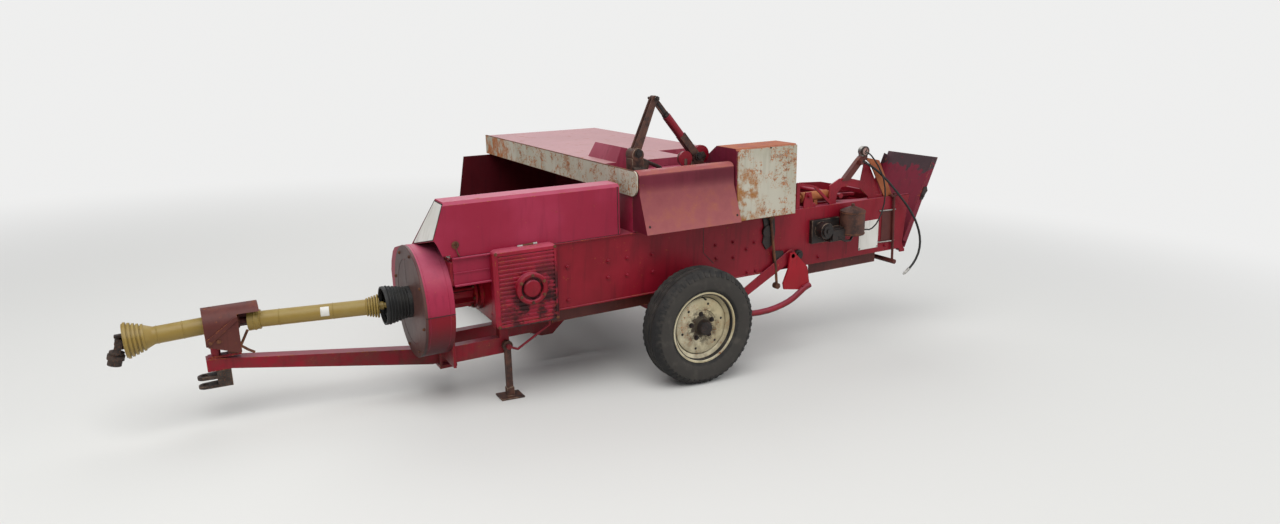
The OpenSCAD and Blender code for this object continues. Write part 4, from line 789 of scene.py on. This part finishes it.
class BALER_OT_shaft(bpy.types.Operator):
    """Adds the drive shaft's seams, blank tag, bell ribs and bolts"""

    bl_idname = "baler.shaft"
    bl_label = "Drive shaft"

    def execute(self, context):
        # The rear guard tube between its ends, and the front one from its rear end
        rear, rear_end = Vector((-1722, *SHAFT)), Vector((-2425, 200, 294))
        along = (rear_end - rear).normalized()
        piece("rear_guard_seams", "guard",
              *[(ring, rear + along * far, along, 43, 2.2, 40) for far in (130, 300, 570)],
              (ring, rear + along * 690, along, 53, 4, 40), (ring, rear + along * 668, along, 50, 3, 40),
              body="pto_rear")
        front, tilt = Vector((-2560, 200, 305)), math.radians(-2.2)
        nose = Vector((-math.cos(tilt), 0, math.sin(tilt)))
        piece("front_guard_seams", "guard",
              *[(ring, front + nose * far, nose, 45, 2.4, 40) for far in (60, 170, 285)], body="pto_front")
        piece("rear_guard_flare", "guard",
              *[(ring, rear + along * (126 - i * 14), along, 46 + i * 3.6, 5, 40) for i in range(5)],
              body="pto_rear")
        # Blank tag wrapped on the tube's near side
        out = Vector((0, -1, 0.35))
        out = (out - along * out.dot(along)).normalized()
        bm = bmesh.new()
        bmesh.ops.create_grid(bm, x_segments=10, y_segments=1, size=1)
        for vert in bm.verts:
            turn = vert.co.x * 0.6
            vert.co = Vector((44.4 * math.sin(turn), vert.co.y * 22, 44.4 * math.cos(turn)))
        bmesh.ops.solidify(bm, geom=bm.faces[:], thickness=0.8)
        bm.transform(Matrix.Translation(rear + along * 340)
                     @ Matrix((along.cross(out), along, out)).transposed().to_4x4())
        settle(bm, "guard_tag", "sign", "pto_rear")
        piece("bell_ribs", "rubber",
              *[(ring, (-1650 - i * 18, *SHAFT), (1, 0, 0), 86 + i * 3.6, 4.5, 48) for i in range(6)])
        # Bolts and the bent rod at the arch of the drawbar
        piece("arch_bolts", "rust", (bolts, [(x, 97, 235) for x in (-2620, -2580)], (0, -1, 0), 15),
              (bolts, [(-2520, 171, 150), (-2510, 171, 170)], (0, -1, 0), 15),
              (bolts, [(x, 200, 386) for x in (-2600, -2420)], (0, 0, 1), 15), body="drawbar")
        piece("arch_rod", "rust", (rod, [(-2500, 172, 136), (-2470, 150, 200), (-2440, 136, 262)], 7),
              (rod, [(-2484, 160, 180), (-2450, 158, 150), (-2419, 160, 128)], 7), body="drawbar")
        return {"FINISHED"}


class BALER_OT_rear(bpy.types.Operator):
    """Adds the pump's can, the gauge dial, the hinge strip and the bale tension parts"""

    bl_idname = "baler.rear"
    bl_label = "Rear end"

    def execute(self, context):
        # Pump: its can with two hoops, and the valve before it
        can = (1318, -323, 386)
        piece("pump_can", "greasy",
              (turned, [(0, -4), (80, -4), (83, 0), (83, 148), (86, 150), (86, 160), (80, 164), (20, 188),
                        (12, 189), (12, 204), (7, 208), (0, 208)], can, (0, 0, 1), 56))
        piece("pump_can_hoops", "rust", (ring, (1318, -323, 536), (0, 0, 1), 84, 3, 56),
              (ring, (1318, -323, 392), (0, 0, 1), 83.5, 3, 56))
        piece("pump_valve", "dark", (cuboid, (1128, -344, 362), (1240, -330, 430)),
              (bar, (1090, -345, 430), (1090, -331, 430), 40),
              (nut, (1090, -352, 430), (1090, -331, 430), 17),
              (rod, [(1180, -340, 380), (1230, -352, 350), (1290, -340, 345), (1330, -320, 370)], 8))
        # Gauge: bezel, blank dial and its pointer
        dial = (1496, -233, 924)
        piece("gauge_bezel", "iron",
              (turned, [(26, 4), (33, 4), (34.5, 1), (34.5, -9), (31, -9)], dial, (0, -1, 0), 48))
        piece("gauge_dial", "dial", (turned, [(0, 1.5), (29, 1.5), (29, -1)], dial, (0, -1, 0), 48))
        piece("gauge_pointer", "dark",
              (plate, [(1492, 920), (1497, 917), (1512, 944), (1510, 945)], -237, -235.5),
              (bar, (1496, -238, 924), (1496, -234, 924), 4))
        # Slanted plate gone orange
        piece("rear_post_plate", "orange",
              (plate, [(1520, 862), (1560, 830), (1706, 586), (1786, 586), (1640, 850), (1534, 874),
                       (1520, 872)], -224, -215))
        # Bale tension: arched plates, the gauge's post, cross bars and the rod at the rear corner
        piece("tension_arches", "deep_red",
              (plate, [(1200, 585), (1262, 585), (1270, 650), (1310, 692), (1370, 694), (1480, 664),
                       (1560, 600), (1560, 585), (1745, 585), (1745, 601), (1640, 609), (1517, 712),
                       (1365, 750), (1291, 752), (1200, 712)], -215, -205),
              (plate, [(1200, 585), (1745, 585), (1745, 601), (1500, 655), (1300, 668), (1200, 640)],
               205, 215),
              (plate, [(1486, 700), (1520, 862), (1575, 806), (1690, 605), (1600, 605), (1530, 660)],
               -204.6, -198),
              (bar, (1310, -210, 630), (1310, 210, 630), 18),
              (cuboid, (1620, -205.5, 597), (1660, 205.5, 627)), (soften_sharp, 1.5),
              stands_for=("tension_frame",))
        piece("gauge_post", "brown_red",
              (plate, [(1306, 735), (1374, 735), (1500, 862), (1526, 862), (1526, 890), (1466, 890),
                       (1440, 868)], -224, -192), (cuboid, (1440, -252, 836), (1466, -206, 868)),
              (bar, (1790, -254, 96), (1772, -254, 612), 9), (cuboid, (1745, -263, 585), (1795, -225, 595)),
              (bar, (1788, -280, 108), (1788, 280, 108), 17))
        root, step = STANCE @ Vector(HOSE_ROOT) / MM, Vector(HOSE_FALL[1]).normalized()
        piece("hose_root_fitting", "dark", (nut, root - step * 44, root - step, 11),
              place=Matrix.Scale(MM, 4))
        # Brown strip with its clips and rivets
        piece("brown_strip", "brown_red", (cuboid, (1676, -244, 262), (1782, -239.5, 488)))
        piece("strip_clips", "steel",
              *[(rod, [(1650, -242, z), (1665, -250, z), (1790, -250, z - 4), (1806, -242, z - 4)], 5)
                for z in (492, 264)],
              (bolts, [(x, -243, z) for x in (1474, 1640) for z in (238, 423)], (0, -1, 0), 9))
        # Side sheets that carry the chamber's walls out to the chute, and the chute's latch
        sheets = ((-240.4, -236, -226), (236, 240.4, 226))
        piece("chamber_rear_sheets", "deep_red",
              *[(plate, [(1772, 585.5), (1938, 585.5), (1895, 250), (1886, 244)], low, high)
                for low, high, lip in sheets],
              *[(cuboid, (1770, min(low, lip), 582), (1938, max(high, lip), 586))
                for low, high, lip in sheets])
        piece("chute_latch", "dark",
              (plate, [(2048, 532), (2074, 528), (2096, 566), (2118, 590), (2108, 622), (2082, 618),
                       (2060, 572)], -247, -239.5), (nut, (2070, -256, 556), (2070, -239.5, 556), 11),
              body="chute")
        # Tension cylinder and the bent strap on top of the chamber
        piece("tension_cylinder", "orange", (bar, (1000, -150, 640), (1230, -150, 640), 34),
              (bar, (960, -150, 640), (1002, -150, 640), 17), (cuboid, (1100, -176, 584), (1130, -124, 640)))
        piece("top_strap", "deep_red",
              (plate, [(905, 752), (912, 760), (1062, 726), (1072, 722), (1220, 592), (1210, 584),
                       (1196, 586), (1056, 712), (905, 744)], -228, -216),
              (plate, [(900, 584), (930, 584), (930, 752), (905, 756)], -229, -217))
        piece("strap_bracket", "deep_red",
              (plate, [(956, 585), (1040, 585), (1034, 640), (1020, 690), (976, 690), (962, 640)],
               -238, -229), (bolts, [(998, -238, 666)], (0, -1, 0), 22))
        return {"FINISHED"}


# Lugs on each shoulder of a tyre
LUGS = 52


class BALER_OT_wheels(bpy.types.Operator):
    """Adds the tyres' shoulder lugs and rings, and the wheels' nuts, hub caps and valves"""

    bl_idname = "baler.wheels"
    bl_label = "Wheels"

    def execute(self, context):
        # Each wheel's side, its middle beside the chamber's, and the way out
        for side, track, out in (("left", -420, -1), ("right", 2310, 1)):
            body = "wheel_" + side
            # Lugs 335 mm from the axle and 80 mm to each side, slanted by 36 degrees
            bm = bmesh.new()
            for way in (-1, 1):
                for turn in range(LUGS):
                    held = bmesh.new()
                    cuboid(held, (-19, -11.5, -5), (19, 11.5, 5))
                    bmesh.ops.bevel(held, geom=held.edges[:], offset=1.5, offset_type="OFFSET",
                                    affect="EDGES", segments=2, profile=0.5, material=-1)
                    held.transform(Matrix.Translation((0, track, 0)) @ Matrix.Rotation(math.pi / 2, 4, "X")
                                   @ Matrix.Rotation(math.tau * turn / LUGS, 4, "Z")
                                   @ Matrix.Translation((335, 0, way * 80))
                                   @ Matrix.Rotation(math.radians(way * 36), 4, "Y"))
                    join(bm, held)
            for way in (-1, 1):
                ring(bm, (0, track + way * 85, 0), (0, 1, 0), 262, 2.2, 96)
                ring(bm, (0, track + way * 90, 0), (0, 1, 0), 296, 1.8, 96)
            settle(bm, "tyre_" + side + "_lugs", "tyre", body)
            face = track + out * 34
            hub = (0, track, 0)
            # Sections of the rim, as radius and height pairs: its barrel, disc and hub
            barrel = [(222, 70), (221, 72), (212, 72), (208, 66), (204, 54), (203, 40), (190, 34), (181, 26),
                      (179, 8), (179, -26), (190, -34), (203, -40), (204, -54), (208, -66), (212, -72),
                      (221, -72), (222, -70), (222, -66), (213, -64), (209, -40), (196, -30), (186, -20),
                      (186, 18), (196, 32), (209, 44), (213, 64), (222, 66)]
            disc = [(178, 20), (176, 28), (170, 32), (150, 34), (118, 38), (104, 38), (100, 34), (60, 34),
                    (52, 40), (52, 30), (60, 26), (104, 28), (118, 30), (150, 26), (168, 24), (171, 18)]
            bm = bmesh.new()
            turned(bm, barrel, hub, (0, out, 0), 96, True)
            turned(bm, disc, hub, (0, out, 0), 96, True)
            bore = [(52, 54), (50, 56), (46, 56), (24, 50), (23.1, 44), (23.1, -94), (50, -94), (52, -92)]
            turned(bm, bore, hub, (0, out, 0), 64, True)
            settle(bm, "rim_" + side + "_turned", "rim", body, stands_for=("rim_" + side,), angle=40)
            piece("rim_" + side + "_gap", "dark",
                  (turned, [(184, 12), (178.6, 22), (176, 24), (173, 16), (173, 6)], hub, (0, out, 0), 96,
                   True), *[(bar, (x, track + out * 30, z), (x, track + out * 36.2, z), 8)
                            for x, z in circle((0, 0), 142, 6, 0.2)], body=body)
            piece("wheel_" + side + "_nuts", "dark",
                  (bolts, [(x, face, z) for x, z in circle((0, 0), 78, 5, 0.4)], (0, out, 0), 22), body=body)
            piece("wheel_" + side + "_cap", "dark",
                  (turned, [(0, 52), (34, 52), (40, 49), (44, 40), (50, 20), (51, -6), (46, -6)],
                   (0, face + out * 6, 0), (0, out, 0), 40),
                  (bar, (0, face + out * 50, 0), (0, face + out * 60, 0), 12), body=body)
            piece("wheel_" + side + "_valve", "rubber",
                  (bar, (0, track + out * 40, 186), (0, track + out * 78, 180), 4.5),
                  (bar, (0, track + out * 66, 181.6), (0, track + out * 80, 179.6), 6), body=body)
        return {"FINISHED"}


# The linear colour that the camera sees behind the machine
BACKGROUND = (0.86, 0.86, 0.855)


class BALER_OT_stage(bpy.types.Operator):
    """Makes the plain floor, the soft lights and the pale background"""

    bl_idname = "baler.stage"
    bl_label = "Studio"

    def execute(self, context):
        bm = bmesh.new()
        bmesh.ops.create_grid(bm, x_segments=1, y_segments=1, size=60)
        mesh = bpy.data.meshes.new("floor")
        bm.to_mesh(mesh)
        bm.free()
        floor = bpy.data.objects.new("floor", mesh)
        context.scene.collection.objects.link(floor)
        material, add = blank_material("Pale matt studio floor")
        # Far from the machine the floor turns as pale as the background, so no horizon shows
        far = add("ShaderNodeVectorMath", inputs={0: add(PLACE)}, out=1, operation="LENGTH")
        near = add("ShaderNodeBsdfPrincipled",
                   inputs={"Base Color": finish_settings().floor, "Roughness": 0.95})
        glow = add("ShaderNodeEmission", inputs={"Color": BACKGROUND, "Strength": 1.0})
        seen = add(TIMES, add("ShaderNodeLightPath"), add(RAMP, far, 3.5, 9))
        blend = add("ShaderNodeMixShader", inputs={0: seen, 1: near, 2: glow})
        add("ShaderNodeOutputMaterial", inputs={"Surface": blend})
        mesh.materials.append(material)
        for name, size, power, at in (("Key", 9, 620, (-3, -4, 8)), ("Fill", 8, 170, (6, -6, 4)),
                                      ("Back", 9, 330, (2, 6, 7))):
            data = bpy.data.lights.new(name, "AREA")
            data.shape = "DISK"
            data.size = size
            data.energy = power
            light = bpy.data.objects.new(name, data)
            light.location = at
            light.rotation_euler = (Vector((0, -0.3, 0.5)) - Vector(at)).to_track_quat("-Z", "Y").to_euler()
            context.scene.collection.objects.link(light)
        world = bpy.data.worlds.new("Studio")
        context.scene.world = world
        world.use_nodes = True
        world.node_tree.nodes.clear()
        add = functools.partial(add_node, world.node_tree)
        back = add("ShaderNodeBackground", inputs={"Color": BACKGROUND, "Strength": 1.0})
        lamp = add("ShaderNodeBackground", inputs={"Color": (0.92, 0.95, 1.0), "Strength": 0.42})
        both = add("ShaderNodeMixShader", inputs={0: add("ShaderNodeLightPath"), 1: lamp, 2: back})
        add("ShaderNodeOutputWorld", inputs={"Surface": both})
        context.scene.view_settings.view_transform = "Standard"
        return {"FINISHED"}


class BALER_PT_parts(bpy.types.Panel):
    """Lists what the file makes"""

    bl_idname = "BALER_PT_parts"
    bl_label = "Square baler"
    bl_space_type = "VIEW_3D"
    bl_region_type = "UI"
    bl_category = "Baler"

    def draw(self, context):
        for settings in (context.scene.baler_finish, context.scene.baler_sizes):
            for name in settings.__annotations__:
                self.layout.prop(settings, name)
        for operator in OPERATORS:
            self.layout.operator(operator.bl_idname)


OPERATORS = (BALER_OT_camera, BALER_OT_hoses, BALER_OT_dress, BALER_OT_covers, BALER_OT_shields,
             BALER_OT_linkage, BALER_OT_shaft, BALER_OT_rear, BALER_OT_wheels, BALER_OT_stage)
CLASSES = (BalerFinish, BalerSizes, *OPERATORS, BALER_PT_parts)


def register():
    for cls in CLASSES:
        bpy.utils.register_class(cls)
    bpy.types.Scene.baler_finish = bpy.props.PointerProperty(type=BalerFinish)
    bpy.types.Scene.baler_sizes = bpy.props.PointerProperty(type=BalerSizes)


def unregister():
    del bpy.types.Scene.baler_sizes
    del bpy.types.Scene.baler_finish
    for cls in reversed(CLASSES):
        bpy.utils.unregister_class(cls)


def main():
    register()
    for operator in OPERATORS:
        group, name = operator.bl_idname.split(".")
        getattr(getattr(bpy.ops, group), name)()


if __name__ == "__main__":
    main()
